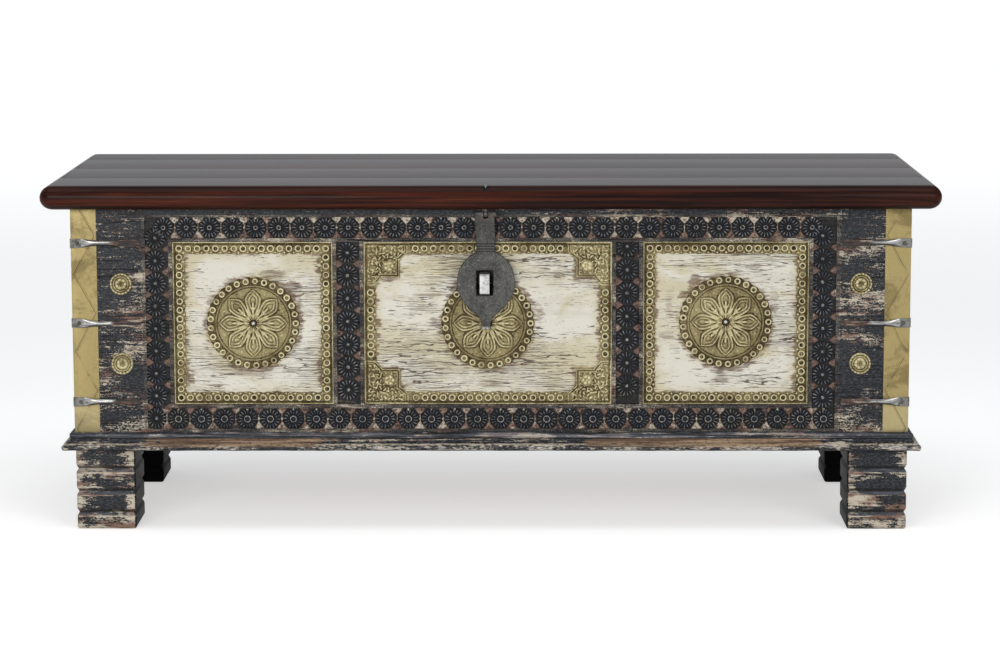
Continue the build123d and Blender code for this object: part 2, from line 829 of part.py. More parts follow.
def eye_shank(clearance):
    """The eye's shank through the lid, and its end clinched forward into the bullnose."""
    top = body_top + lid_thick - eye_clinch_sink
    shank = Pos(hasp_x, hasp_pin_y, hasp_pin_z + 2) * Cylinder(
        eye_shank_radius + clearance, top - hasp_pin_z - 2,
        align=(Align.CENTER, Align.CENTER, Align.MIN),
    )
    low = top - eye_clinch_thick - clearance
    tip_y = hasp_pin_y - eye_clinch_length - clearance
    wide = eye_shank_radius * 0.8 + clearance
    clinch = along_x(
        polygon([
            (hasp_pin_y + 1, low), (hasp_pin_y + 1, top), (hasp_pin_y - 1, top),
            (tip_y, top - eye_clinch_fall), (tip_y, low - eye_clinch_fall), (hasp_pin_y - 1, low),
        ]),
        hasp_x - wide, hasp_x + wide,
    )
    return shank + clinch


# ---------------------------------------------------------------- lid
def lid_blank():
    """The lid with a full bullnose along the front and both ends."""
    low, high = body_top, body_top + lid_thick
    half, deep = lid_length / 2, lid_depth / 2
    radius = lid_thick / 2 - lid_edge_flat / 2
    lengthwise = rectangle(-half, half, low, high)
    lengthwise = fillet(lengthwise.vertices(), radius)
    crosswise = rectangle(-deep, deep, low, high)
    crosswise = fillet([v for v in crosswise.vertices() if v.X < 0], radius)
    crosswise = fillet([v for v in crosswise.vertices() if v.X > deep - 0.1], 2.0)
    plan = rectangle(-half, half, -deep, deep)
    plan = fillet([v for v in plan.vertices() if v.Y < 0], lid_corner_radius)
    blank = forward(lengthwise, deep, lid_depth)
    return blank & along_x(crosswise, -half, half) & upward(plan, low, high)


def build_lid():
    low, high = body_top, body_top + lid_thick
    blank = lid_blank()
    blank -= eye_shank(nail_clearance)
    widths = (lid_front_board, lid_mid_board, lid_mid_board, lid_rear_board)
    near = -lid_depth / 2
    for name, width in zip(("front", "mid_front", "mid_rear", "rear"), widths):
        strip = slab(-lid_length, lid_length, near, near + width, low - 1, high + 1)
        parts[f"lid_board_{name}"] = blank & strip
        near += width

    battens = []
    y0, y1 = inner_front + batten_end_gap, inner_back - batten_end_gap
    for side in (-1, 1):
        x0 = side * batten_x - batten_width / 2
        c = batten_chamfer
        profile = polygon([
            (y0, low), (y1, low), (y1, low - batten_thick + c), (y1 - c, low - batten_thick),
            (y0 + c, low - batten_thick), (y0, low - batten_thick + c),
        ])
        battens.append(along_x(profile, x0, x0 + batten_width))
    parts["lid_battens"] = group(battens)


# ---------------------------------------------------------------- hinges
def knuckles(x0, kind):
    """Start and end of each knuckle: the body has the two outer ones, the lid the middle one."""
    third = hinge_length / 3
    spans = [(x0, x0 + third), (x0 + third, x0 + 2 * third), (x0 + 2 * third, x0 + hinge_length)]
    if kind == "lid":
        return [(spans[1][0] + knuckle_gap, spans[1][1] - knuckle_gap)]
    return [spans[0], spans[2]]


def barrel(x0, x1, radius):
    return Plane(origin=(x0, hinge_y, hinge_z), z_dir=(1, 0, 0)) * Cylinder(
        radius, x1 - x0, align=(Align.CENTER, Align.CENTER, Align.MIN)
    )


def build_hinges():
    body_leaves, lid_leaves, pins = [], [], []
    bore = hinge_pin_radius + running_clearance
    relief = hinge_knuckle_radius + knuckle_gap
    for side in (-1, 1):
        x0 = side * hinge_x - hinge_length / 2
        x1 = x0 + hinge_length
        leaf = slab(x0, x1, back_y, back_y + hinge_leaf, body_top - hinge_leaf_drop, hinge_z)
        for a, b in knuckles(x0, "lid"):
            gap = (a - knuckle_gap, b + knuckle_gap)
            leaf -= slab(*gap, back_y - 1, hinge_y, hinge_z - relief, body_top)
        for a, b in knuckles(x0, "body"):
            leaf += barrel(a, b, hinge_knuckle_radius)
        leaf -= barrel(x0 - 1, x1 + 1, bore)
        body_leaves.append(leaf)

        leaf = slab(x0, x1, hinge_y, lid_depth / 2 - lid_leaf_margin, body_top - hinge_leaf, body_top)
        for a, b in knuckles(x0, "body"):
            gap = (a - knuckle_gap, b + knuckle_gap)
            leaf -= slab(*gap, hinge_y - 1, hinge_y + relief, hinge_z, body_top + 1)
        for a, b in knuckles(x0, "lid"):
            leaf += barrel(a, b, hinge_knuckle_radius)
        leaf -= barrel(x0 - 1, x1 + 1, bore)
        lid_leaves.append(leaf)
        pins.append(barrel(x0, x1, hinge_pin_radius))
    parts["hinge_body_leaves"] = group(body_leaves)
    parts["hinge_lid_leaves"] = group(lid_leaves)
    parts["hinge_pins"] = group(pins)


# ---------------------------------------------------------------- build and write
build_feet()
build_base()
build_posts()
build_walls()
build_front_frame()
build_panels()
build_trim()
build_brass()
build_straps()
build_staple()
build_hasp()
build_lid()
build_hinges()

os.makedirs("parts", exist_ok=True)
for node, shape in parts.items():
    export_step(shape, f"parts/{node}.step")
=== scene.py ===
"""Dowry chest: the finish of every surface, the carving, the embossed brass and the ironwork."""
import math

import bmesh
import bpy
import numpy as np
from bpy.props import FloatProperty, FloatVectorProperty, IntProperty, PointerProperty
from mathutils import Matrix, Vector


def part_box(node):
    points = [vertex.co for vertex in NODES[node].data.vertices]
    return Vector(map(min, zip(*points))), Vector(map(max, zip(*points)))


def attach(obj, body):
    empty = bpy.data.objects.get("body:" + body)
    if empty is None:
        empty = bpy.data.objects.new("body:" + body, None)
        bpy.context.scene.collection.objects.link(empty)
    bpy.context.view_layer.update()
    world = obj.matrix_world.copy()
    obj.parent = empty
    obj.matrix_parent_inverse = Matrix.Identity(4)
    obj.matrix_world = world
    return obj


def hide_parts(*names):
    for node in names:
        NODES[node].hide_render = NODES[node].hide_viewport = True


bl_info = {
    "name": "Dowry Chest",
    "version": (1, 0, 0),
    "blender": (4, 5, 0),
    "location": "View3D > Sidebar > Chest",
    "description": "Dresses the dowry chest: lid, painted wood, carving, brass and iron",
    "category": "Object",
}

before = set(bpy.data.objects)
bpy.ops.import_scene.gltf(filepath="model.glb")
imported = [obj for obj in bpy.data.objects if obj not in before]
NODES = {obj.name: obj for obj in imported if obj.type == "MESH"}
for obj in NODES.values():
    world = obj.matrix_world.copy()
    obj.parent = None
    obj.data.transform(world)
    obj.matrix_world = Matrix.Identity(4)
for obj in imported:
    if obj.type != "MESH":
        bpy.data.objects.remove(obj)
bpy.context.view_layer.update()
MM = 0.001

# ---------------------------------------------------------------- places taken from the frame
LID_LOW, LID_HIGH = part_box("lid_board_front")[0].copy(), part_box("lid_board_rear")[1].copy()
POST_LOW, POST_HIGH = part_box("post_front_left")[0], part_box("post_front_right")[1]
FRONT_Y = POST_LOW.y
BODY_HALF = POST_HIGH.x
FRAME_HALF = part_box("post_front_right")[0].x
BODY_BOTTOM, BODY_TOP = POST_LOW.z, POST_HIGH.z
PANEL_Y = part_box("panel_trim_left")[1].y
BAYS = {name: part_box(f"panel_trim_{name}") for name in ("left", "centre", "right")}
OPEN_LOW, OPEN_HIGH = BAYS["left"][0].z, BAYS["left"][1].z
OPEN_HALF = BAYS["right"][1].x
PANEL_Z = (OPEN_LOW + OPEN_HIGH) / 2
TOP_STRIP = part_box("front_outer_stile_right")[1].z
SIDES = (("left", -1), ("right", 1))
STAPLE = (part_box("lock_staple")[0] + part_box("lock_staple")[1]) / 2
FOOT_LOW, FOOT_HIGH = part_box("foot_front_right")[0].copy(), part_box("foot_front_right")[1].copy()
FOOT_GROOVES = (22.6 * MM, 50.6 * MM, 80.8 * MM)
CHANNEL_MARGIN = 4.4 * MM
CHANNEL_FLOOR = FRONT_Y + 3.0 * MM
TRIM_WIDTH = 16.5 * MM
HASP_REACH = 91 * MM


# ---------------------------------------------------------------- settings
def srgb(red, green, blue):
    """A display colour of 0 to 255 as linear light."""
    def linear(value):
        value /= 255
        return value / 12.92 if value <= 0.04045 else ((value + 0.055) / 1.055) ** 2.4

    return linear(red), linear(green), linear(blue)


def dimmed(tone, share_left):
    return [part * share_left for part in tone]


def colour(name, description, red, green, blue):
    return FloatVectorProperty(
        name=name, description=description, subtype="COLOR", size=3, min=0, max=1,
        default=srgb(red, green, blue),
    )


def length(name, description, millimetres):
    return FloatProperty(
        name=name, description=description, default=millimetres * MM, min=0,
        subtype="DISTANCE", unit="LENGTH",
    )


def share(name, description, value, high=1.0):
    return FloatProperty(
        name=name, description=description, default=value, min=0, max=high, subtype="FACTOR"
    )


class ChestPaint(bpy.types.PropertyGroup):
    black: colour("Black", "Old black paint", 14, 15, 18)
    black_sheen: colour("Dusty black", "Black paint under old dust", 66, 70, 78)
    dust: colour("Dust", "Blue-grey dust on ridges and level mouldings", 118, 121, 130)
    undercoat: colour("Undercoat", "Chalky undercoat under the black", 206, 195, 176)
    bare: colour("Bare wood", "Pinkish wood under the paint", 136, 106, 92)
    dark_wood: colour("Dark wood", "Old wood in cracks and grain", 58, 42, 34)
    cream: colour("Cream", "Panel paint", 219, 215, 202)
    cream_aged: colour("Aged cream", "Yellowed panel paint", 202, 193, 164)
    smudge: colour("Patina smudge", "Brown stain round the brass", 110, 86, 62)
    ochre: colour("Verdigris smudge", "Yellow-green stain beside the trim", 158, 140, 92)
    wear: share("Wear", "How much black paint is worn away", 0.5)
    crack: share("Cracks", "How much the cream paint is cracked", 0.5)


class ChestLid(bpy.types.PropertyGroup):
    dark: colour("Dark grain", "Darkest grain of the lid", 24, 10, 8)
    red: colour("Red grain", "Red-brown grain of the lid", 74, 33, 20)
    amber: colour("Amber streak", "Lightest streaks of the lid", 132, 70, 38)
    seam: length("Seam", "Width of the eased edge at each board joint", 0.9)
    corner: length("Corner radius", "Plan radius of the two front corners", 14)
    gloss: share("Gloss", "Strength of the lacquer", 1.0)


class ChestBrass(bpy.types.PropertyGroup):
    bright: colour("Bright brass", "Rubbed brass", 208, 199, 160)
    mid: colour("Brass", "Aged brass", 146, 134, 96)
    dark: colour("Patina", "Dark olive patina in the hollows", 64, 53, 32)
    sheet: colour("Sheet brass", "Corner cladding", 164, 147, 97)
    sheet_dull: colour("Dull sheet brass", "Tarnished patches of the cladding", 132, 117, 74)
    ring_pitch: length("Ring pitch", "Spacing of the embossed rings of the panel trim", 11.9)
    ring_radius: length("Ring radius", "Radius of one embossed ring", 4.4)
    ring_line: length("Ring line", "Distance of the rings from the trim's outer edge", 9.0)
    scallop: length("Scallop", "Depth of the scalloped inner edge", 1.8)
    tack_pitch: length("Tack pitch", "Spacing of the tacks of the cladding", 9.0)
    zigzag: length("Zigzag", "Height of one stroke of the scratched zigzag", 50.8)


class ChestCarving(bpy.types.PropertyGroup):
    rail_pitch: length("Rail pitch", "Spacing of the rosettes along the rails", 30.02)
    rail_radius: length("Rail rosette", "Outer radius of a rosette on a rail", 13.7)
    stile_radius: length("Stile rosette", "Outer radius of a rosette on a stile", 14.6)
    hub: length("Hub radius", "Radius of the ring at a rosette's middle", 3.9)
    petals: IntProperty(name="Petals", description="Petals of a rosette", default=16, min=3)


class ChestIron(bpy.types.PropertyGroup):
    iron: colour("Iron", "Dark forged iron", 88, 87, 83)
    iron_dark: colour("Dark iron", "Scale left on the iron", 54, 54, 53)
    rust: colour("Rust", "Brown bloom on the iron", 82, 66, 56)
    steel: colour("Steel", "Bright worn steel", 196, 196, 194)
    edge: length("Edge", "Radius of the hammered edges", 1.2)


class ChestStage(bpy.types.PropertyGroup):
    focal: FloatProperty(name="Focal length", description="Camera lens in millimetres",
                         default=100.97, min=1)
    key: FloatProperty(name="Key", description="Strength of the front soft light, in watts",
                       default=27.0, min=0)
    top: FloatProperty(name="Top", description="Strength of the overhead soft light, in watts",
                       default=17.5, min=0)
    world: share("World", "Strength of the surrounding light", 0.32, 2.0)
    floor: colour("Floor", "Pale floor", 236, 236, 236)


SETTINGS = {
    "chest_paint": ChestPaint,
    "chest_lid": ChestLid,
    "chest_brass": ChestBrass,
    "chest_carving": ChestCarving,
    "chest_iron": ChestIron,
    "chest_stage": ChestStage,
}


# ---------------------------------------------------------------- shader building
class Shader:
    """One procedural material. Every method adds a node and gives its output socket."""

    def __init__(self, name):
        self.material = bpy.data.materials.new(name)
        self.material.use_nodes = True
        self.tree = self.material.node_tree
        self.tree.nodes.clear()
        self.surface = self.new("BsdfPrincipled")
        self.tree.links.new(self.surface.outputs[0], self.new("OutputMaterial").inputs["Surface"])
        self.place = self.new("TexCoord").outputs["Object"]

    def new(self, kind):
        return self.tree.nodes.new("ShaderNode" + kind)

    def feed(self, socket, value):
        if isinstance(value, bpy.types.NodeSocket):
            self.tree.links.new(value, socket)
        elif socket.type == "RGBA":
            socket.default_value = (*value, 1)
        else:
            socket.default_value = value

    def set(self, **inputs):
        """Sets or links inputs of the surface, named with _ for a space."""
        for name, value in inputs.items():
            self.feed(self.surface.inputs[name.replace("_", " ")], value)
        return self

    def math(self, operation, first, *others, clamp=False):
        """A sum, product or the like, taken two values at a time from the left."""
        for other in others or (0.0,):
            node = self.new("Math")
            node.operation, node.use_clamp = operation, clamp
            self.feed(node.inputs[0], first)
            self.feed(node.inputs[1], other)
            first = node.outputs[0]
        return first

    def add(self, *values):
        return self.math("ADD", *values)

    def less(self, first, second):
        return self.math("SUBTRACT", first, second)

    def times(self, *values):
        return self.math("MULTIPLY", *values)

    def largest(self, *values):
        return self.math("MAXIMUM", *values)

    def smallest(self, *values):
        return self.math("MINIMUM", *values)

    def size(self, value):
        return self.math("ABSOLUTE", value)

    def sum(self, *terms):
        """Adds (value, weight) pairs."""
        return self.add(*(self.times(value, weight) for value, weight in terms))

    def ramp(self, value, low, high, start=0.0, end=1.0):
        """Smoothly maps value from low..high to start..end."""
        node = self.new("MapRange")
        node.interpolation_type = "SMOOTHSTEP"
        for socket, number in zip(node.inputs, (value, low, high, start, end)):
            self.feed(socket, number)
        return node.outputs[0]

    def line(self, value, half, core, strength=1.0):
        """Full strength where value is within core of 0, fading to nothing at half."""
        return self.ramp(self.size(value), half, core, 0, strength)

    def mix(self, factor, first, second):
        node = self.new("Mix")
        node.data_type = "RGBA"
        for index, value in ((0, factor), (6, first), (7, second)):
            self.feed(node.inputs[index], value)
        return node.outputs[2]

    def stretch(self, scale, centre=(0, 0, 0)):
        node = self.new("Mapping")
        self.tree.links.new(self.place, node.inputs["Vector"])
        node.inputs["Scale"].default_value = scale
        node.inputs["Location"].default_value = [-c * s for c, s in zip(centre, scale)]
        return node.outputs[0]

    def noise(self, scale, detail=4.0, roughness=0.55, distortion=0.0, centre=(0, 0, 0)):
        """Noise with its own number of features per metre along X, Y and Z."""
        node = self.new("TexNoise")
        self.tree.links.new(self.stretch(scale, centre), node.inputs["Vector"])
        for name, value in (
            ("Scale", 1.0), ("Detail", detail), ("Roughness", roughness), ("Distortion", distortion),
        ):
            node.inputs[name].default_value = value
        return node.outputs["Fac"]

    def axis(self, index, vector=None):
        node = self.new("SeparateXYZ")
        self.tree.links.new(vector or self.place, node.inputs[0])
        return node.outputs[index]

    def normal(self):
        return self.new("NewGeometry").outputs["Normal"]

    def facing(self, index):
        """One part of the direction that the surface faces."""
        return self.axis(index, self.normal())

    def distance(self, centre, flatten=(1, 1, 1)):
        """Distance from centre, with each axis weighed by flatten."""
        node = self.new("VectorMath")
        node.operation = "LENGTH"
        self.tree.links.new(self.stretch(flatten, centre), node.inputs[0])
        return node.outputs["Value"]

    def bump(self, height, depth, strength=1.0):
        node = self.new("Bump")
        node.inputs["Strength"].default_value = strength
        node.inputs["Distance"].default_value = depth
        self.tree.links.new(height, node.inputs["Height"])
        return node.outputs[0]

    def worn_edge(self, radius):
        """How far the surface turns within radius: 0 on flats, towards 1 at an edge."""
        rounded, dot = self.new("Bevel"), self.new("VectorMath")
        rounded.samples = 6
        rounded.inputs["Radius"].default_value = radius
        dot.operation = "DOT_PRODUCT"
        self.tree.links.new(rounded.outputs[0], dot.inputs[0])
        self.tree.links.new(self.normal(), dot.inputs[1])
        return self.math("SUBTRACT", 1.0, dot.outputs["Value"], clamp=True)


# Near black: the real dark of cracks and of the lid's nail hole, and also painted shade in hollows, grooves,
# creases, under parts and round the lock staple.
SOOT_AND_SHADE = (0.003, 0.003, 0.003)


def paint_ground(s, seed=0.0):
    """The black itself, streaked with fine dust, and its grain."""
    paint = bpy.context.scene.chest_paint
    grain = s.noise((210, 210, 560), 5, 0.75, 0.0, (0.2 + seed, 0.1, 0.3))
    return s.mix(s.ramp(grain, 0.47, 0.6, 0, 0.9), paint.black, paint.black_sheen), grain


def worn_ground(s, seed=0.0):
    """What shows where the black is rubbed through: undercoat and pinkish wood."""
    paint = bpy.context.scene.chest_paint
    tint = s.noise((24, 24, 90), 5, 0.62, 0.0, (seed, 0.4, 0))
    under = s.mix(s.ramp(tint, 0.4, 0.56), paint.bare, paint.undercoat)
    return s.mix(s.ramp(s.noise((130, 130, 480), 4, 0.7), 0.44, 0.34, 0, 0.6), under, paint.dark_wood)


def inner_wood(s, tone):
    """Leaves the wood bare inside the chest."""
    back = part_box("back_boards")[1].y
    y = s.axis(1)
    inset = s.smallest(s.less(BODY_HALF, s.size(s.axis(0))), s.less(y, FRONT_Y), s.less(back, y))
    grain = s.noise((6, 60, 90), 7, 0.65, 0.8)
    wood = s.mix(s.ramp(grain, 0.34, 0.66), srgb(84, 58, 40), srgb(140, 106, 76))
    return s.mix(s.ramp(inset, 8 * MM, 10 * MM), tone, wood)


def painted_staple_shade(s):
    """How much painted shade darkens the front round the lock staple, under the hasp."""
    return s.ramp(s.distance(STAPLE, (1, 0, 0.66)), 16 * MM, 13 * MM, 0, 0.96)


def black_paint(name, wear, edge_radius=3.0 * MM, edges=0.3, sunk=0.0):
    """Old black paint, rubbed through in fine level dashes, most of them near edges.

    sunk is how much painted shade darkens the carved channels."""
    paint = bpy.context.scene.chest_paint
    s = Shader(name)
    dash = s.noise((120, 120, 640), 6, 0.68, 0.2)
    streak = s.noise((22, 22, 250), 6, 0.66, 0.3, (0.3, 0.1, 0))
    speck = s.noise((470, 470, 700), 3, 0.6)
    patch = s.noise((9, 11, 17), 4, 0.6, 0.6, (0.31, 0, 0))
    edge = s.worn_edge(edge_radius)
    amount = s.sum((dash, 0.36), (streak, 0.38), (speck, 0.34), (patch, 0.6), (edge, edges))
    limit = 0.93 - 0.17 * wear * (0.5 + paint.wear)
    chipped = s.ramp(amount, limit, limit + 0.03)
    black, grain = paint_ground(s)
    tone = s.mix(s.times(chipped, 0.9), black, worn_ground(s))
    crack = s.ramp(s.noise((12, 12, 420), 6, 0.6, 0.2, (0.6, 0.2, 0.1)), 0.4, 0.34)
    tone = s.mix(s.times(crack, 0.9), tone, SOOT_AND_SHADE)
    if sunk:
        # Painted shade: the paint darkens towards the floor of the carved channels.
        depth = s.ramp(s.axis(1), FRONT_Y + 1.0 * MM, FRONT_Y + 2.6 * MM, 0, sunk)
        tone = s.mix(depth, tone, SOOT_AND_SHADE)
    tone = inner_wood(s, tone)
    relief = s.less(s.sum((dash, 0.4), (grain, 0.4), (chipped, -0.5)), s.times(crack, 0.9))
    return s.set(
        Base_Color=tone, Roughness=s.ramp(chipped, 0.0, 1.0, 0.5, 0.78),
        Specular_IOR_Level=0.3, Normal=s.bump(relief, 0.6 * MM, 0.9),
    ).material


def foot_paint(name, outward, painted_shade):
    """Paint of the feet: a painted shadow under each lobe, dusty on the shoulder below each groove
    with a pale arris under it, worn in patches and at the corners, and hardly worn and darkened
    with painted shade on the faces turned inwards.

    outward is the outer face's direction along Y, and painted_shade how dark the painted shade on
    the inner faces is."""
    paint = bpy.context.scene.chest_paint
    s = Shader(name)
    x, z = s.axis(0), s.axis(2)
    dash = s.noise((50, 50, 420), 6, 0.72, 0.2)
    speck = s.noise((380, 380, 560), 3, 0.6)
    patch = s.noise((15, 15, 34), 4, 0.6, 0.5, (0.43, 0, 0.02))
    inward = s.ramp(s.times(s.facing(0), s.math("SIGN", x)), -0.4, -0.7)
    hidden = s.largest(inward, s.ramp(s.times(s.facing(1), -outward), 0.3, 0.6))
    half = (FOOT_HIGH.x - FOOT_LOW.x) / 2
    aside = s.size(s.less(s.size(x), FOOT_LOW.x + half))
    border = s.ramp(aside, half - 16 * MM, half - 3 * MM)
    grooves = [s.less(z, level) for level in FOOT_GROOVES]
    shadow = s.largest(*(
        s.times(s.ramp(away, -0.6 * MM, 0.2 * MM), s.ramp(away, 5.0 * MM, 3.0 * MM)) for away in grooves))
    shoulder = s.largest(*(
        s.times(s.ramp(away, -0.2 * MM, -1.2 * MM), s.ramp(away, -5.4 * MM, -4.4 * MM)) for away in grooves))
    arris = s.largest(*(s.line(s.add(away, 5.2 * MM), 1.2 * MM, 0.4 * MM) for away in grooves))
    amount = s.sum(
        (dash, 0.5), (speck, 0.3), (patch, 0.85), (s.worn_edge(4 * MM), 0.42), (border, 0.06),
        (arris, 0.1), (hidden, -0.16), (shoulder, -0.03), (s.ramp(x, -100 * MM, 100 * MM), -0.035),
    )
    chipped = s.ramp(amount, 0.85, 0.88)
    black, grain = paint_ground(s, 0.4)
    dusty = s.ramp(s.noise((40, 40, 300), 5, 0.65), 0.4, 0.6, 0.15, 0.8)
    tone = s.mix(s.times(shoulder, dusty, 0.55), black, paint.dust)
    tone = s.mix(s.times(chipped, s.ramp(shoulder, 0, 1, 0.95, 0.6)), tone, worn_ground(s, 0.3))
    # Painted shadow under each lobe.
    tone = s.mix(s.times(shadow, 0.8), tone, SOOT_AND_SHADE)
    # Painted shade: the faces turned inwards and towards the chest's underside go nearly black, with little
    # sheen.
    painted_shade = s.times(hidden, painted_shade)
    tone = s.mix(painted_shade, tone, SOOT_AND_SHADE)
    relief = s.less(s.sum((dash, 0.5), (grain, 0.4)), s.times(chipped, 0.5))
    return s.set(
        Base_Color=tone, Roughness=s.ramp(chipped, 0, 1, 0.5, 0.78),
        Specular_IOR_Level=s.ramp(painted_shade, 0, 1, 0.3, 0.02), Normal=s.bump(relief, 0.6 * MM, 0.9),
    ).material


def moulding_paint(name, low, tan):
    """Paint along the base moulding: a dusty band, a cove worn to tan wood in long stretches, each
    given as (x, half length), a nosing streaked grey and white with a pale top arris that is partly
    rubbed undercoat and partly a painted highlight, and painted shade in the quirk and underneath."""
    paint = bpy.context.scene.chest_paint
    s = Shader(name)
    x, z = s.axis(0), s.less(s.axis(2), low)
    streak = s.noise((9, 9, 520), 6, 0.66, 0.25)
    fleck = s.noise((170, 170, 700), 5, 0.7, 0.0, (0.1, 0, 0))
    patch = s.noise((16, 16, 60), 4, 0.6, 0.3, (0.22, 0, 0))
    black, grain = paint_ground(s, 0.7)
    dusty = s.mix(s.ramp(streak, 0.42, 0.58), paint.black, paint.dust)
    band = s.ramp(z, 15.4 * MM, 16.2 * MM)
    tone = s.mix(s.times(band, s.ramp(patch, 0.4, 0.56, 0.3, 0.85)), black, dusty)
    pale = s.ramp(s.sum((streak, 0.5), (fleck, 0.4), (patch, 0.5)), 0.74, 0.77)
    tone = s.mix(s.times(pale, s.ramp(band, 0, 1, 0.85, 0.6)), tone, worn_ground(s, 0.6))
    nosing = s.ramp(z, 8.8 * MM, 7.6 * MM)
    silver = s.times(nosing, s.ramp(s.sum((fleck, 0.5), (patch, 0.5)), 0.49, 0.56))
    tone = s.mix(s.times(silver, 0.8), tone, s.mix(s.ramp(fleck, 0.42, 0.6), paint.dust, paint.undercoat))
    ragged = s.times(s.less(patch, 0.5), 160 * MM)
    stretch = s.largest(*(
        s.ramp(s.add(s.size(s.less(x, place * MM)), ragged), half * MM, (half - 12) * MM)
        for place, half in tan))
    cove = s.times(s.ramp(z, 4.6 * MM, 6.4 * MM), s.ramp(z, 15.2 * MM, 14.4 * MM))
    wood = s.mix(s.ramp(streak, 0.44, 0.56), srgb(96, 72, 54), srgb(166, 140, 112))
    wood = s.mix(s.ramp(fleck, 0.48, 0.38, 0, 0.8), wood, paint.dark_wood)
    tone = s.mix(s.times(cove, stretch, 0.9), tone, wood)
    # The pale line along the nosing's top arris is partly rubbed undercoat and partly a painted highlight.
    arris = s.times(s.line(s.less(z, 8.3 * MM), 0.9 * MM, 0.3 * MM), s.ramp(fleck, 0.4, 0.5))
    tone = s.mix(s.times(arris, s.ramp(stretch, 0, 1, 0.8, 0.2)), tone, paint.undercoat)
    # Painted shade: a dark line in the quirk under the band and along the moulding's underside.
    quirk = s.line(s.less(z, 15.1 * MM), 0.9 * MM, 0.4 * MM)
    under = s.ramp(z, 1.6 * MM, 0.8 * MM)
    tone = s.mix(s.times(s.largest(quirk, under), 0.9), tone, SOOT_AND_SHADE)
    relief = s.sum((streak, 0.5), (fleck, 0.4), (grain, 0.1))
    return s.set(
        Base_Color=tone, Roughness=0.58, Specular_IOR_Level=0.3, Normal=s.bump(relief, 0.6 * MM, 0.9)
    ).material


def carved_paint(name, low_y, high_y, dusty, hubs):
    """Paint on the carving: painted shade that darkens the hollows nearly to black, petals rubbed
    blue-grey as dusty goes to 1, and hubs rubbed pale by their own share."""
    paint = bpy.context.scene.chest_paint
    s = Shader(name)
    height = s.ramp(s.axis(1), low_y, high_y)
    speck = s.noise((420, 420, 420), 4, 0.7)
    patch = s.noise((26, 26, 26), 3, 0.6, 0.0, (0.1, 0, 0.4))
    hue = s.noise((16, 16, 16), 3, 0.5, 0.0, (0.7, 0, 0.3))
    ground = s.mix(s.ramp(speck, 0.42, 0.6), srgb(22, 24, 28), srgb(78, 83, 92))
    ground = s.mix(s.ramp(hue, 0.42, 0.6, 0, 0.4), ground, srgb(44, 54, 78))
    ground = s.mix(s.ramp(hue, 0.46, 0.34, 0, 0.4), ground, srgb(52, 56, 40))
    # Painted shade: the carving goes nearly black towards the bottom of its hollows.
    tone = s.mix(s.ramp(height, 0.04, 0.34), SOOT_AND_SHADE, ground)
    mask = s.sum((patch, 0.5), (speck, 0.5))
    share_rubbed = s.ramp(mask, 0.48 - 0.08 * dusty, 0.56, 0.1 + 0.2 * dusty, 0.45 + 0.4 * dusty)
    petal = s.times(s.ramp(height, 0.36, 0.6), share_rubbed)
    broken = s.noise((150, 150, 150), 2, 0.5, 0.0, (0, 0, 0.9))
    hub = s.times(s.ramp(height, 0.78, 0.88), s.ramp(broken, 0.42, 0.5, 0.15, hubs))
    rubbed = s.mix(s.ramp(speck, 0.46, 0.62), srgb(118, 124, 136), paint.undercoat)
    tone = s.mix(s.largest(petal, hub), tone, rubbed)
    return s.set(
        Base_Color=tone, Roughness=0.55, Specular_IOR_Level=0.35, Normal=s.bump(speck, 0.4 * MM, 0.6)
    ).material


def worn_wood(name, pale):
    """The rubbed triangles between the rosettes, from dim brown to cream as pale goes to 1."""
    paint = bpy.context.scene.chest_paint
    s = Shader(name)
    speck = s.noise((300, 300, 340), 5, 0.7)
    patch = s.noise((34, 34, 40), 4, 0.6)
    both = s.sum((patch, 0.7), (speck, 0.3))
    tone = s.mix(s.ramp(both, 0.6 - 0.2 * pale, 0.72 - 0.24 * pale), paint.bare, paint.undercoat)
    tone = s.mix(0.6 * (1 - pale), tone, paint.dark_wood)
    tone = s.mix(s.ramp(speck, 0.54, 0.4, 0, 0.85), tone, paint.dark_wood)
    tone = s.mix(s.ramp(s.sum((speck, 0.5), (patch, 0.5)), 0.47, 0.42, 0, 0.9), tone, paint.black)
    return s.set(Base_Color=tone, Roughness=0.75, Normal=s.bump(speck, 0.4 * MM, 0.6)).material


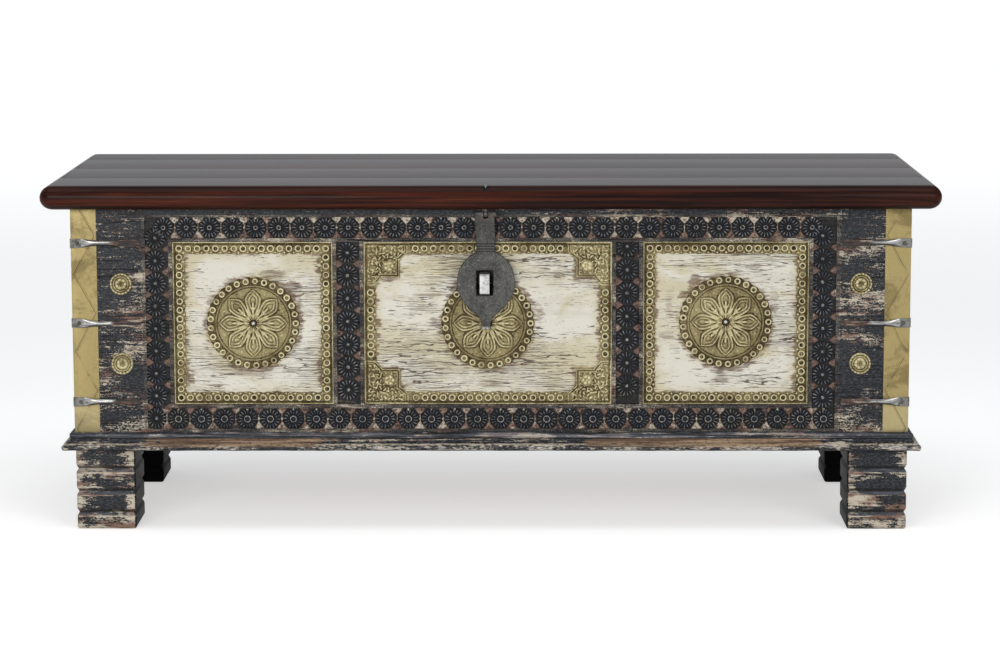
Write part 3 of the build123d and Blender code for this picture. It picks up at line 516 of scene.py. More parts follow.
def cream_paint(name, low, high, centre, corners, smears, cracked):
    """Cream paint split by fine level cracks, more of them as cracked rises, stained along the trim,
    round the disc and the corner plates, darkened with painted shade round the lock staple, and in
    a few smears given as (x, z, half width, half height, strength) about the centre."""
    paint = bpy.context.scene.chest_paint
    s = Shader(name)
    x, z = s.axis(0), s.axis(2)
    drift = s.noise((7, 7, 14), 4, 0.6, 0.8, (0.17, 0, 0.07))
    ragged = s.noise((60, 60, 300), 6, 0.7, 0.4)
    soft = s.noise((26, 26, 60), 4, 0.6, 0.5, (0.4, 0, 0))
    wander = s.sum((s.less(ragged, 0.5), 20 * MM), (s.less(soft, 0.5), 24 * MM))
    inset = s.smallest(s.less(x, low.x), s.less(high.x, x))
    level = s.smallest(s.less(z, low.z), s.less(high.z, z))
    rim = s.less(s.smallest(inset, s.add(level, 2.5 * MM)), wander)
    halo = s.less(s.distance(centre, (1, 0, 1)), wander)
    stain = s.largest(s.ramp(rim, 3.5 * MM, 0), s.ramp(halo, 66 * MM, 60.5 * MM))
    for corner in corners:
        aside, above = s.size(s.less(x, corner.x)), s.size(s.less(z, corner.z))
        stain = s.largest(stain, s.ramp(s.less(s.largest(aside, above), wander), 52 * MM, 47 * MM))
    tone = s.mix(s.ramp(drift, 0.44, 0.62), paint.cream, paint.cream_aged)
    grey = s.ramp(s.noise((9, 9, 60), 5, 0.7, 0.3, (0.5, 0, 0.1)), 0.5, 0.66, 0, 0.3)
    tone = s.mix(grey, tone, srgb(186, 180, 162))
    tone = s.mix(s.ramp(rim, 14 * MM, 3 * MM, 0, 0.5), tone, paint.cream_aged)
    smudge = s.mix(s.ramp(soft, 0.44, 0.56), paint.ochre, paint.smudge)
    tone = s.mix(s.times(stain, s.ramp(ragged, 0.38, 0.56, 0.4, 0.9)), tone, smudge)
    level_dash = s.ramp(s.noise((20, 20, 330), 5, 0.7, 0.2, (0, 0, 0.4)), 0.38, 0.54, 0.35, 1)
    for dx, dz, half_x, half_z, strength in smears:
        place = (centre.x + dx * MM, 0, centre.z + dz * MM)
        away = s.less(s.distance(place, (1, 0, half_x / half_z)), s.times(wander, 1.3))
        blot = s.times(s.ramp(away, half_x * MM, half_x * 0.4 * MM, 0, strength), level_dash)
        tone = s.mix(blot, tone, paint.smudge)
    dense = s.times(s.less(s.noise((7, 7, 15), 3, 0.6, 0.0, (0.6, 0, 0.2)), 0.5), 0.85)

    def dashes(pitch, reach, seat, thick, gate):
        """Thin level lines a pitch apart in metres, wandering and broken into dashes about a
        reach long; thick is the share of the pitch on each side of a line."""
        sway = s.noise((14, 14, 70), 3, 0.55, 0.0, seat)
        line = s.math("PINGPONG", s.add(s.times(z, 1 / pitch), s.times(sway, 4.0)), 0.5)
        broken = s.add(s.noise((0.6 / reach, 8, 0.8 / pitch), 4, 0.65, 0.0, seat), dense)
        return s.times(s.ramp(line, thick, thick * 0.4), s.ramp(broken, gate, gate + 0.05))

    gate = 0.61 - 0.12 * paint.crack - cracked
    bold = dashes(7.6 * MM, 40 * MM, (0.2, 0, 0.5), 0.08, gate)
    fine = dashes(3.7 * MM, 15 * MM, (0.7, 0, 0.1), 0.14, gate)
    hair = dashes(2.1 * MM, 7 * MM, (0.3, 0, 0.8), 0.18, gate - 0.02)
    crack = s.largest(bold, s.times(fine, 0.9), s.times(hair, 0.55))
    inside = s.mix(s.ramp(ragged, 0.5, 0.64, 0, 0.8), paint.dark_wood, paint.bare)
    tone = s.mix(s.times(crack, 0.95), tone, inside)
    # Painted shade round the lock staple.
    tone = inner_wood(s, s.mix(painted_staple_shade(s), tone, SOOT_AND_SHADE))
    return s.set(
        Base_Color=tone, Roughness=0.62, Normal=s.bump(s.less(s.times(ragged, 0.3), crack), 0.6 * MM, 0.8)
    ).material


def bare_wood(name, light, dark):
    """Plain oiled boards with the grain along X."""
    s = Shader(name)
    grain = s.noise((5, 90, 90), 8, 0.65, 1.2)
    pore = s.noise((26, 620, 620), 4, 0.7)
    tone = s.mix(s.ramp(grain, 0.3, 0.68), dark, light)
    tone = s.mix(s.ramp(pore, 0.42, 0.3, 0, 0.6), tone, dark)
    return s.set(Base_Color=tone, Roughness=0.62, Normal=s.bump(grain, 0.4 * MM, 0.5)).material


def lid_lacquer(name, hole):
    """Deep red-brown wood under a glossy lacquer, the grain along X, with painted shade at the top
    and the bottom of the front edge's round, and split at the eye's hole."""
    lid = bpy.context.scene.chest_lid
    s = Shader(name)
    broad = s.noise((1.8, 40, 40), 6, 0.6, 1.2)
    streak = s.noise((4, 250, 250), 6, 0.65, 0.5, (0.4, 0, 0.2))
    pore = s.noise((16, 900, 900), 3, 0.6)
    tone = s.mix(s.ramp(s.sum((broad, 0.6), (streak, 0.4)), 0.4, 0.62), lid.dark, lid.red)
    tone = s.mix(s.ramp(s.sum((streak, 0.7), (broad, 0.3)), 0.6, 0.72, 0, 0.6), tone, lid.amber)
    tone = s.mix(s.ramp(pore, 0.42, 0.32, 0, 0.7), tone, lid.dark)
    # Painted shade at the top and the bottom of the front edge's round, broken up by the grain.
    at_front = s.ramp(s.axis(1), LID_LOW.y + 16 * MM, LID_LOW.y + 9 * MM)
    level = s.size(s.less(s.axis(2), (LID_LOW.z + LID_HIGH.z) / 2 - 0.5 * MM))
    level = s.add(level, s.times(s.less(broad, 0.5), 8 * MM))
    painted_nose_shade = s.times(at_front, s.ramp(level, 7 * MM, 14 * MM, 0, 0.6))
    tone = s.mix(painted_nose_shade, tone, dimmed(lid.dark, 0.6))
    tone = s.mix(s.ramp(s.distance(hole, (1, 0.5, 1)), 7.0 * MM, 3.6 * MM), tone, SOOT_AND_SHADE)
    ripple = s.sum((s.noise((3, 60, 60), 5, 0.6), 0.6), (streak, 0.16), (pore, 0.16))
    polish = s.ramp(s.axis(2), LID_HIGH.z - 1.6 * MM, LID_HIGH.z - 0.3 * MM, 0.2, 1)
    return s.set(
        Base_Color=tone, Roughness=0.5, Specular_IOR_Level=0.06, Normal=s.bump(ripple, 0.5 * MM, 0.35),
        Coat_Weight=s.times(polish, lid.gloss), Coat_Roughness=0.1, Coat_IOR=1.28,
        Coat_Normal=s.bump(ripple, 0.5 * MM, 0.22),
    ).material


def embossed_brass(name, base_y, field, crest):
    """Embossed brass, coloured by its height above base_y: dark patina in the grooves, aged brass
    on the field and rubbed metal on the crests, all stippled and browned in patches."""
    brass = bpy.context.scene.chest_brass
    s = Shader(name)
    mottle = s.noise((380, 380, 380), 5, 0.75)
    drift = s.noise((15, 15, 20), 4, 0.6)
    height = s.less(base_y, s.axis(1))
    height = s.add(height, s.sum((s.less(mottle, 0.5), 4.4 * MM), (s.less(drift, 0.5), 1.8 * MM)))
    tone = s.mix(s.ramp(height, 0.25 * field, 1.05 * field), brass.dark, brass.mid)
    tone = s.mix(s.ramp(height, 1.15 * field, crest), tone, brass.bright)
    tone = s.mix(s.ramp(s.noise((34, 34, 34), 4, 0.65), 0.5, 0.64, 0, 0.5), tone, srgb(92, 72, 42))
    # Painted shade round the lock staple.
    tone = s.mix(painted_staple_shade(s), tone, SOOT_AND_SHADE)
    return s.set(
        Base_Color=tone, Roughness=s.ramp(height, 0, crest, 0.62, 0.42), Metallic=0.5,
        Specular_IOR_Level=0.3, Normal=s.bump(mottle, 0.5 * MM, 0.8),
    ).material


def brass_hollow(name):
    """The dark middle of a ring or a bead."""
    brass = bpy.context.scene.chest_brass
    s = Shader(name)
    spots = s.ramp(s.noise((160, 160, 160), 4, 0.7), 0.4, 0.64)
    tone = s.mix(spots, dimmed(brass.dark, 0.4), brass.mid)
    # Painted shade round the lock staple.
    tone = s.mix(painted_staple_shade(s), tone, SOOT_AND_SHADE)
    return s.set(Base_Color=tone, Roughness=0.62, Metallic=0.4, Specular_IOR_Level=0.3).material


def sheet_brass(name):
    """Hand-beaten cladding with a zigzag scratched twice over on the front and the side."""
    brass = bpy.context.scene.chest_brass
    s = Shader(name)
    x, y, z = s.axis(0), s.axis(1), s.axis(2)
    on_front = s.ramp(y, FRONT_Y, FRONT_Y - 0.4 * MM)
    across = s.less(s.size(x), BODY_HALF - 16 * MM)
    along = s.less(FRONT_Y + 16 * MM, y)
    offset = s.add(s.times(across, on_front), s.times(along, s.less(1.0, on_front)))
    wander = s.times(s.less(s.noise((30, 30, 30), 3, 0.5), 0.5), 5 * MM)
    swing = s.math("PINGPONG", s.less(z, BODY_BOTTOM + 56 * MM), brass.zigzag)
    swing = s.times(s.less(swing, brass.zigzag / 2), 28 * MM / brass.zigzag)
    side = s.less(s.add(offset, wander), swing)
    again = s.line(s.add(side, 2.0 * MM), 0.5 * MM, 0.15 * MM, 0.6)
    strokes = s.largest(s.line(side, 0.65 * MM, 0.2 * MM), again)
    scratch = s.times(strokes, s.ramp(s.noise((18, 18, 60), 3, 0.5), 0.36, 0.5, 0.15, 0.85))
    beaten = s.noise((46, 46, 46), 3, 0.5)
    fine = s.noise((420, 420, 160), 4, 0.7)
    dull = s.ramp(s.noise((14, 14, 20), 5, 0.7, 0.5, (0.2, 0, 0)), 0.44, 0.64)
    spots = s.ramp(s.noise((90, 90, 120), 5, 0.7), 0.6, 0.72, 0, 0.6)
    tone = s.mix(s.ramp(s.sum((dull, 0.6), (fine, 0.8)), 0.3, 0.95), brass.sheet, brass.sheet_dull)
    tone = s.mix(s.ramp(z, BODY_BOTTOM + 42 * MM, BODY_BOTTOM + 30 * MM, 0, 0.25), tone, brass.bright)
    tone = s.mix(s.largest(spots, scratch), tone, brass.dark)
    height = s.less(s.sum((beaten, 1.0), (fine, 0.1)), s.times(scratch, 0.5))
    return s.set(
        Base_Color=tone, Roughness=s.ramp(dull, 0.0, 1.0, 0.46, 0.6), Metallic=0.5,
        Normal=s.bump(height, 0.7 * MM, 0.5),
    ).material


def forged_iron(name, rusty=0.25, disc_z=None):
    """Dark forged iron: mottled scale, fine scratches, pale worn edges and brown bloom.

    disc_z is the height of the hasp's disc: its neck is browner with painted shade between its ridges, its
    nose bright."""
    iron = bpy.context.scene.chest_iron
    s = Shader(name)
    cloud = s.noise((40, 40, 20), 5, 0.6)
    grit = s.noise((420, 420, 260), 4, 0.7)
    scratch = s.line(s.less(s.noise((90, 90, 260), 2, 0.5, 1.5, (0.3, 0, 0)), 0.5), 0.02, 0.006)
    tone = s.mix(s.ramp(s.sum((cloud, 0.6), (grit, 0.4)), 0.4, 0.6), iron.iron_dark, iron.iron)
    bloom = s.noise((28, 28, 28), 5, 0.65, 0.0, (0.5, 0, 0.2))
    if disc_z is not None:
        along = s.less(s.axis(2), disc_z)
        bloom = s.add(bloom, s.ramp(along, 40 * MM, 56 * MM, 0, 0.17))
    tone = s.mix(s.ramp(bloom, 0.7 - 0.3 * rusty, 0.84 - 0.3 * rusty, 0, 0.75), tone, iron.rust)
    pale = s.largest(s.times(scratch, 0.2), s.ramp(s.worn_edge(1.6 * MM), 0.04, 0.3, 0, 0.5))
    tone = s.mix(pale, tone, iron.steel)
    if disc_z is not None:
        # Painted shade in the grooves between the neck's ridges.
        for line in (41.2, 44.7, 48.2, 51.8):
            tone = s.mix(s.line(s.less(along, line * MM), 1.0 * MM, 0.4 * MM, 0.6), tone, SOOT_AND_SHADE)
        nose = s.times(s.ramp(along, -55.5 * MM, -57.5 * MM), s.ramp(grit, 0.42, 0.54, 0.2, 0.9))
        tone = s.mix(nose, tone, iron.steel)
    return s.set(
        Base_Color=tone, Roughness=s.ramp(cloud, 0.3, 0.7, 0.42, 0.6), Metallic=0.6,
        Normal=s.bump(s.sum((cloud, 0.8), (grit, 0.25)), 0.6 * MM, 0.5),
    ).material


def strap_steel(name):
    """Dull at the nailed end, bright along the neck with painted shade on its underside, browned and
    streaked with paint on the leaf.
    """
    iron, paint = bpy.context.scene.chest_iron, bpy.context.scene.chest_paint
    s = Shader(name)
    along = s.largest(s.less(BODY_HALF, s.size(s.axis(0))), s.less(s.axis(1), FRONT_Y))
    brush = s.noise((60, 60, 500), 5, 0.6)
    blotch = s.noise((150, 150, 150), 5, 0.7)
    steel = s.mix(s.ramp(brush, 0.36, 0.64), dimmed(iron.steel, 0.45), iron.steel)
    steel = s.mix(s.ramp(blotch, 0.54, 0.68, 0, 0.6), steel, iron.rust)
    # Painted shade: faces turned downwards go towards black.
    steel = s.mix(s.ramp(s.facing(2), 0.2, -0.4, 0, 0.9), steel, paint.black)
    dull = s.mix(s.ramp(blotch, 0.4, 0.6), srgb(92, 90, 86), srgb(134, 133, 128))
    end = s.ramp(s.add(along, s.times(blotch, 4 * MM)), 16.5 * MM, 13.5 * MM)
    aged = s.ramp(s.add(along, s.times(blotch, 24 * MM)), 58 * MM, 68 * MM)
    streak = s.noise((30, 30, 420), 5, 0.65)
    worn = s.mix(s.ramp(blotch, 0.46, 0.62), paint.dark_wood, srgb(98, 74, 62))
    worn = s.mix(s.ramp(streak, 0.58, 0.64, 0, 0.8), worn, paint.undercoat)
    worn = s.mix(s.ramp(streak, 0.5, 0.44), worn, paint.black)
    tone = s.mix(aged, s.mix(end, steel, dull), worn)
    return s.set(
        Base_Color=tone, Roughness=s.ramp(s.largest(aged, end), 0, 1, 0.28, 0.62),
        Metallic=s.ramp(aged, 0, 1, 0.92, 0.1), Normal=s.bump(blotch, 0.5 * MM, 0.5),
    ).material


def bright_steel(name):
    iron = bpy.context.scene.chest_iron
    s = Shader(name)
    blotch = s.noise((200, 200, 200), 5, 0.65)
    tone = s.mix(s.ramp(blotch, 0.48, 0.7, 0, 0.8), iron.steel, iron.iron)
    return s.set(
        Base_Color=tone, Roughness=0.32, Metallic=0.9, Normal=s.bump(blotch, 0.3 * MM, 0.4)
    ).material


_materials = {}


def material(kind, *args, **options):
    """One material of its kind for each set of values, made once."""
    key = (kind.__name__, args[0])
    if key not in _materials:
        _materials[key] = kind(*args, **options)
    return _materials[key]


# ---------------------------------------------------------------- mesh building
def add_object(name, mesh):
    piece = bpy.data.objects.new(name, mesh)
    bpy.context.scene.collection.objects.link(piece)
    return piece


def finished(name, mesh, finish, smooth):
    """An object of a mesh in one finish, smooth but for edges over smooth degrees."""
    mesh.materials.clear()
    mesh.materials.append(finish)
    shade(mesh, smooth)
    return add_object(name, mesh)


def shade(mesh, smooth):
    mesh.polygons.foreach_set("use_smooth", [True] * len(mesh.polygons))
    mesh.set_sharp_from_angle(angle=math.radians(smooth))


def outward_mesh(name, vertices, faces):
    """A mesh with its doubles merged and its faces turned outwards."""
    mesh = bpy.data.meshes.new(name)
    mesh.from_pydata([tuple(v) for v in vertices], [], faces)
    b = bmesh.new()
    b.from_mesh(mesh)
    bmesh.ops.remove_doubles(b, verts=b.verts, dist=1e-6)
    bmesh.ops.recalc_face_normals(b, faces=b.faces)
    b.to_mesh(mesh)
    b.free()
    return mesh


def new_piece(name, vertices, faces, finish, smooth=35.0):
    return finished(name, outward_mesh(name, vertices, faces), finish, smooth)


def settle(piece, body, slot, *nodes):
    """Puts a finished piece on its body and hides the nodes it stands for; slot is not used."""
    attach(piece, body)
    if nodes:
        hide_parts(*nodes)


def paint_node(node, finish):
    mesh = NODES[node].data
    mesh.materials.clear()
    mesh.materials.append(finish)


def ease_node(node, body, slot, width, finish, least=8 * MM):
    """Stands a copy of a node in its place, with the edges that are longer than least eased."""
    name = f"{node}_finish"
    mesh = NODES[node].data.copy()
    mesh.name = name
    b = bmesh.new()
    b.from_mesh(mesh)
    bmesh.ops.remove_doubles(b, verts=b.verts, dist=2e-6)
    bmesh.ops.dissolve_limit(b, angle_limit=math.radians(1), verts=b.verts, edges=b.edges)
    edges = [e for e in b.edges if e.is_manifold and e.calc_length() > least
             and e.calc_face_angle(0) > math.radians(20)]
    bmesh.ops.bevel(b, geom=edges, offset=width, segments=3, profile=0.5, affect="EDGES",
                    clamp_overlap=True)
    b.to_mesh(mesh)
    b.free()
    settle(finished(name, mesh, finish, 30), body, slot, node)


def merge(parts):
    """Several (vertices, faces) pairs as one."""
    vertices, faces = [], []
    for more, loops in parts:
        faces += [tuple(n + len(vertices) for n in loop) for loop in loops]
        vertices += list(more)
    return vertices, faces


def loft(rings):
    """Quads between equal closed rings of points, with the two ends closed."""
    count = len(rings[0])
    vertices = [point for ring in rings for point in ring]
    faces = []
    for row in range(len(rings) - 1):
        for k in range(count):
            a, b = row * count + k, row * count + (k + 1) % count
            faces.append((a, b, b + count, a + count))
    faces.append(tuple(range(count - 1, -1, -1)))
    faces.append(tuple(range(len(vertices) - count, len(vertices))))
    return vertices, faces


def around(sides, lead=0.0):
    """Angles evenly round a circle, the first one a share of a step on."""
    return [2 * math.pi * (k + lead) / sides for k in range(sides)]


def turned(profile, sides, axis=(0, -1, 0), seat=(0, 0, 0)):
    """A solid turned about an axis through its seat, from (radius, height) points."""
    turn = Vector((0, 0, 1)).rotation_difference(Vector(axis)).to_matrix()
    return loft([
        [Vector(seat) + turn @ Vector((r * math.cos(a), r * math.sin(a), height)) for a in around(sides)]
        for r, height in profile
    ])


def cylinder(centre, radius, half, axis, sides=24):
    """A closed cylinder about centre, its ends slightly rounded."""
    soft = min(radius, half) * 0.2
    profile = ((radius - soft, -half), (radius, -half + soft), (radius, half - soft), (radius - soft, half))
    return turned(profile, sides, axis, centre)


def fan(vertices, sectors, rows):
    """Faces of a round relief: a centre point, rings of sectors points and a closed back."""
    faces = [(0, 1 + (k + 1) % sectors, 1 + k) for k in range(sectors)]
    for i in range(rows - 1):
        for k in range(sectors):
            p, q = 1 + i * sectors + k, 1 + i * sectors + (k + 1) % sectors
            faces.append((p, q, q + sectors, p + sectors))
    last = 1 + (rows - 1) * sectors
    faces.append(tuple(range(last, last + sectors)))
    return vertices, faces


def disc_relief(name, centre, radius, height, finish, rings, sectors, lobes=0, lobe_depth=0.0):
    """A round embossed plate facing the front; height(r, angle) in metres above its seat, and a
    rim that swells outwards lobes times by lobe_depth."""
    radii = np.linspace(0, radius, rings + 1)[1:]
    r, a = np.meshgrid(radii, np.linspace(0, 2 * math.pi, sectors, endpoint=False), indexing="ij")
    h = height(r, a)
    r = r + lobe_depth * np.cos(a * lobes) * (r / radius) ** 16
    x, y, z = centre.x + r * np.cos(a), centre.y - h, centre.z + r * np.sin(a)
    middle = float(height(np.array([0.0]), np.array([0.0]))[0])
    vertices = [(centre.x, centre.y - middle, centre.z), *zip(x.ravel(), y.ravel(), z.ravel())]
    vertices += [(px, centre.y, pz) for px, pz in zip(x[-1], z[-1])]
    return new_piece(name, *fan(vertices, sectors, rings + 1), finish, 60)


def plate_relief(name, low, high, cell, shape, lift, finish, smooth=60, back=0.0):
    """A plate of any outline: shape(u, v) gives the distance to the outline, negative inside,
    and the height; lift(u, v, height) gives the point in the frame."""
    across = np.linspace(low[0], high[0], int(round((high[0] - low[0]) / cell)) + 1)
    up = np.linspace(low[1], high[1], int(round((high[1] - low[1]) / cell)) + 1)
    u, v = np.meshgrid(across, up)
    away, _ = shape(u, v)
    grad_v, grad_u = np.gradient(away, up, across)
    kept = (away[:-1, :-1] + away[1:, :-1] + away[:-1, 1:] + away[1:, 1:]) / 4 < 0
    cells = np.zeros_like(away, int)
    for di in (0, 1):
        for dj in (0, 1):
            cells[di:di + kept.shape[0], dj:dj + kept.shape[1]] += kept
    rim, used = (cells > 0) & (cells < 4), cells > 0
    size = np.maximum(grad_u ** 2 + grad_v ** 2, 0.25)
    u = np.where(rim, u - away * grad_u / size, u)
    v = np.where(rim, v - away * grad_v / size, v)
    _, height = shape(u, v)
    total = int(used.sum())
    index = -np.ones(away.shape, int)
    index[used] = np.arange(total)
    points = [lift(a, b, h) for a, b, h in zip(u[used], v[used], height[used])]
    points += [lift(a, b, back) for a, b in zip(u[used], v[used])]
    faces, sides = [], {}
    for i, j in zip(*np.nonzero(kept)):
        corners = (index[i, j], index[i, j + 1], index[i + 1, j + 1], index[i + 1, j])
        quad = tuple(int(n) for n in corners)
        faces.append(quad)
        faces.append(tuple(n + total for n in reversed(quad)))
        for a, b in zip(quad, quad[1:] + quad[:1]):
            if sides.pop((b, a), None) is None:
                sides[(a, b)] = True
    faces += [(b, a, a + total, b + total) for a, b in sides]
    return new_piece(name, points, faces, finish, smooth)


# ---------------------------------------------------------------- repeating motifs
def motif_tree():
    """Geometry nodes: a motif set along each route at a pitch, turned by the route's own turn, made
    real and finished, with the second finish on its hollow faces."""
    tree = bpy.data.node_groups.new("motif along route", "GeometryNodeTree")
    face = tree.interface
    face.new_socket("Geometry", in_out="INPUT", socket_type="NodeSocketGeometry")
    sockets = {}
    for label, kind in (
        ("Motif", "Object"), ("Pitch", "Float"), ("Turn jitter", "Float"), ("Size jitter", "Float"),
        ("Seed", "Int"), ("Finish", "Material"), ("Hollow finish", "Material"),
    ):
        socket = face.new_socket(label, in_out="INPUT", socket_type=f"NodeSocket{kind}")
        sockets[label] = socket.identifier
    face.new_socket("Geometry", in_out="OUTPUT", socket_type="NodeSocketGeometry")
    add = tree.nodes.new
    start, end = add("NodeGroupInput").outputs, add("NodeGroupOutput")
    curve, resample = add("GeometryNodeMeshToCurve"), add("GeometryNodeResampleCurve")
    resample.mode = "LENGTH"
    motif, place = add("GeometryNodeObjectInfo"), add("GeometryNodeInstanceOnPoints")
    turn, sunk = add("GeometryNodeInputNamedAttribute"), add("GeometryNodeInputNamedAttribute")
    turn.data_type, sunk.data_type = "FLOAT", "BOOLEAN"
    turn.inputs["Name"].default_value, sunk.inputs["Name"].default_value = "turn", "hollow"
    swing, grow = add("FunctionNodeRandomValue"), add("FunctionNodeRandomValue")
    other_way, angle_sum, bigger, smaller = (add("ShaderNodeMath") for _ in range(4))
    other_way.operation, angle_sum.operation = "MULTIPLY", "ADD"
    bigger.operation, smaller.operation = "ADD", "SUBTRACT"
    other_way.inputs[1].default_value = -1.0
    bigger.inputs[0].default_value = smaller.inputs[0].default_value = 1.0
    angle, real = add("ShaderNodeCombineXYZ"), add("GeometryNodeRealizeInstances")
    coat, sunk_coat = add("GeometryNodeSetMaterial"), add("GeometryNodeSetMaterial")
    for source, target in (
        (start["Geometry"], curve.inputs["Mesh"]),
        (curve.outputs[0], resample.inputs["Curve"]),
        (start["Pitch"], resample.inputs["Length"]),
        (resample.outputs[0], place.inputs["Points"]),
        (start["Motif"], motif.inputs["Object"]),
        (motif.outputs["Geometry"], place.inputs["Instance"]),
        (start["Turn jitter"], other_way.inputs[0]),
        (other_way.outputs[0], swing.inputs[2]),
        (start["Turn jitter"], swing.inputs[3]),
        (start["Seed"], swing.inputs["Seed"]),
        (turn.outputs["Attribute"], angle_sum.inputs[0]),
        (swing.outputs[1], angle_sum.inputs[1]),
        (angle_sum.outputs[0], angle.inputs["Y"]),
        (angle.outputs[0], place.inputs["Rotation"]),
        (start["Size jitter"], bigger.inputs[1]),
        (start["Size jitter"], smaller.inputs[1]),
        (smaller.outputs[0], grow.inputs[2]),
        (bigger.outputs[0], grow.inputs[3]),
        (start["Seed"], grow.inputs["Seed"]),
        (grow.outputs[1], place.inputs["Scale"]),
        (place.outputs[0], real.inputs[0]),
        (real.outputs[0], coat.inputs["Geometry"]),
        (start["Finish"], coat.inputs["Material"]),
        (coat.outputs[0], sunk_coat.inputs["Geometry"]),
        (sunk.outputs["Attribute"], sunk_coat.inputs["Selection"]),
        (start["Hollow finish"], sunk_coat.inputs["Material"]),
        (sunk_coat.outputs[0], end.inputs[0]),
    ):
        tree.links.new(source, target)
    return tree, sockets


def repeated(name, body, slot, motif, routes, pitch, finish, turn_jitter=0.0, size_jitter=0.0, seed=1,
             smooth=40, hollow=None):
    """Settles a plain mesh of a motif repeated along routes, each a list of points and a turn.

    hollow is the finish of the motif's sunk middle, where it has one."""
    if "motif along route" not in bpy.data.node_groups:
        repeated.tree, repeated.sockets = motif_tree()
    mesh = bpy.data.meshes.new(name)
    points, edges, turns = [], [], []
    for route, turn in routes:
        edges += [(len(points) + k, len(points) + k + 1) for k in range(len(route) - 1)]
        points += [tuple(p) for p in route]
        turns += [turn] * len(route)
    mesh.from_pydata(points, edges, [])
    mesh.attributes.new("turn", "FLOAT", "POINT").data.foreach_set("value", turns)
    carrier = add_object(name, mesh)
    nodes = carrier.modifiers.new("motifs", "NODES")
    nodes.node_group = repeated.tree
    for label, value in (
        ("Motif", motif), ("Pitch", pitch), ("Turn jitter", turn_jitter), ("Size jitter", size_jitter),
        ("Seed", seed), ("Finish", finish), ("Hollow finish", hollow or finish),
    ):
        nodes[repeated.sockets[label]] = value
    graph = bpy.context.evaluated_depsgraph_get()
    solid = bpy.data.meshes.new_from_object(carrier.evaluated_get(graph), depsgraph=graph)
    carrier.modifiers.remove(nodes)
    carrier.data = solid
    solid.name = name
    for label in ("turn", "hollow"):
        if label in solid.attributes:
            solid.attributes.remove(solid.attributes[label])
    shade(solid, smooth)
    bpy.data.objects.remove(motif)
    settle(carrier, body, slot)


def motif_of(name, vertices, faces, hollow=None):
    """An object to be repeated. From face hollow on, its faces are its sunk middle."""
    mesh = bpy.data.meshes.new(name)
    mesh.from_pydata(vertices, [], faces)
    b = bmesh.new()
    b.from_mesh(mesh)
    bmesh.ops.recalc_face_normals(b, faces=b.faces)
    b.to_mesh(mesh)
    b.free()
    if hollow is not None:
        sunk = [polygon.index >= hollow for polygon in mesh.polygons]
        mesh.attributes.new("hollow", "BOOLEAN", "FACE").data.foreach_set("value", sunk)
    return add_object(name, mesh)


# ---------------------------------------------------------------- pieces: lid
def rounded_rectangle(half_x, low_y, high_y, front_radius, rear_radius, steps=8):
    """Plan outline, counter-clockwise, with its own radius at the front and the rear corners."""
    points = []
    for sign_x, y, radius, start in (
        (1, low_y, front_radius, -90), (1, high_y, rear_radius, 0),
        (-1, high_y, rear_radius, 90), (-1, low_y, front_radius, 180),
    ):
        cx = sign_x * (half_x - radius)
        cy = y + radius if y == low_y else y - radius
        for k in range(steps + 1):
            angle = math.radians(start + 90 * k / steps)
            points.append((cx + radius * math.cos(angle), cy + radius * math.sin(angle)))
    return points


def lid_slab():
    """The whole lid as one slab: full bullnose at the front and both ends, square at the rear."""
    lid = bpy.context.scene.chest_lid
    radius = (LID_HIGH.z - LID_LOW.z) / 2
    middle = (LID_HIGH.z + LID_LOW.z) / 2
    rings = []
    steps = 20
    for k in range(steps + 1):
        angle = -math.pi / 2 + math.pi * k / steps
        inset = radius * (1 - math.cos(angle))
        rear = 1.5 * MM * (1 - math.cos(angle) ** 0.5)
        corner = max(lid.corner - inset * 0.7, 2 * MM)
        outline = rounded_rectangle(LID_HIGH.x - inset, LID_LOW.y + inset, LID_HIGH.y - rear, corner, 1 * MM)
        z = middle + radius * math.sin(angle)
        rings.append([(x, y, z) for x, y in outline])
    return loft(rings)


def lid_board(name, slab, near, far, finish):
    """One board of the slab between two depths, its seams eased along the top."""
    mesh = bpy.data.meshes.new(name)
    mesh.from_pydata(slab[0], [], slab[1])
    b = bmesh.new()
    b.from_mesh(mesh)
    for y, side in ((near, -1), (far, 1)):
        if LID_LOW.y + MM < y < LID_HIGH.y - MM:
            whole = b.verts[:] + b.edges[:] + b.faces[:]
            bmesh.ops.bisect_plane(b, geom=whole, plane_co=(0, y, 0), plane_no=(0, side, 0), clear_outer=True)
            bmesh.ops.contextual_create(b, geom=[e for e in b.edges if e.is_boundary])
            seam = [e for e in b.edges
                    if all(abs(v.co.y - y) < 1e-6 and v.co.z > LID_HIGH.z - 1e-5 for v in e.verts)]
            width = bpy.context.scene.chest_lid.seam
            bmesh.ops.bevel(b, geom=seam, offset=width, segments=2, profile=0.5, affect="EDGES")
    bmesh.ops.recalc_face_normals(b, faces=b.faces)
    b.to_mesh(mesh)
    b.free()
    return finished(name, mesh, finish, 30)


# ---------------------------------------------------------------- pieces: moulding
def moulding_profile():
    """Outward distance from the wall against height, from the inner foot round to the top: a round
    nosing, a cove, a quirk and a flat band."""
    low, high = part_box("base_moulding_front")
    reach = FRONT_Y - low.y
    nosing, setback = 8.4 * MM, 3.4 * MM
    root, shoulder = reach - setback, low.z + nosing
    band, band_reach, edge = 6.0 * MM, 7.0 * MM, 1.2 * MM
    cove_top = high.z - band - edge
    points = [(-42 * MM, low.z)]
    for k in range(9):
        angle = -math.pi / 2 + math.pi * k / 8
        points.append((root + setback * math.cos(angle), low.z + nosing / 2 * (1 + math.sin(angle))))
    cove_in, cove_out = band_reach - 1.6 * MM, root - edge / 2
    for k in range(7):
        angle = math.pi / 2 * k / 6
        points.append((cove_out - (cove_out - cove_in) * math.sin(angle),
                       cove_top - (cove_top - shoulder) * math.cos(angle)))
    points += [
        (band_reach, high.z - band), (band_reach, high.z - edge), (band_reach - edge, high.z),
        (-42 * MM, high.z),
    ]
    return points


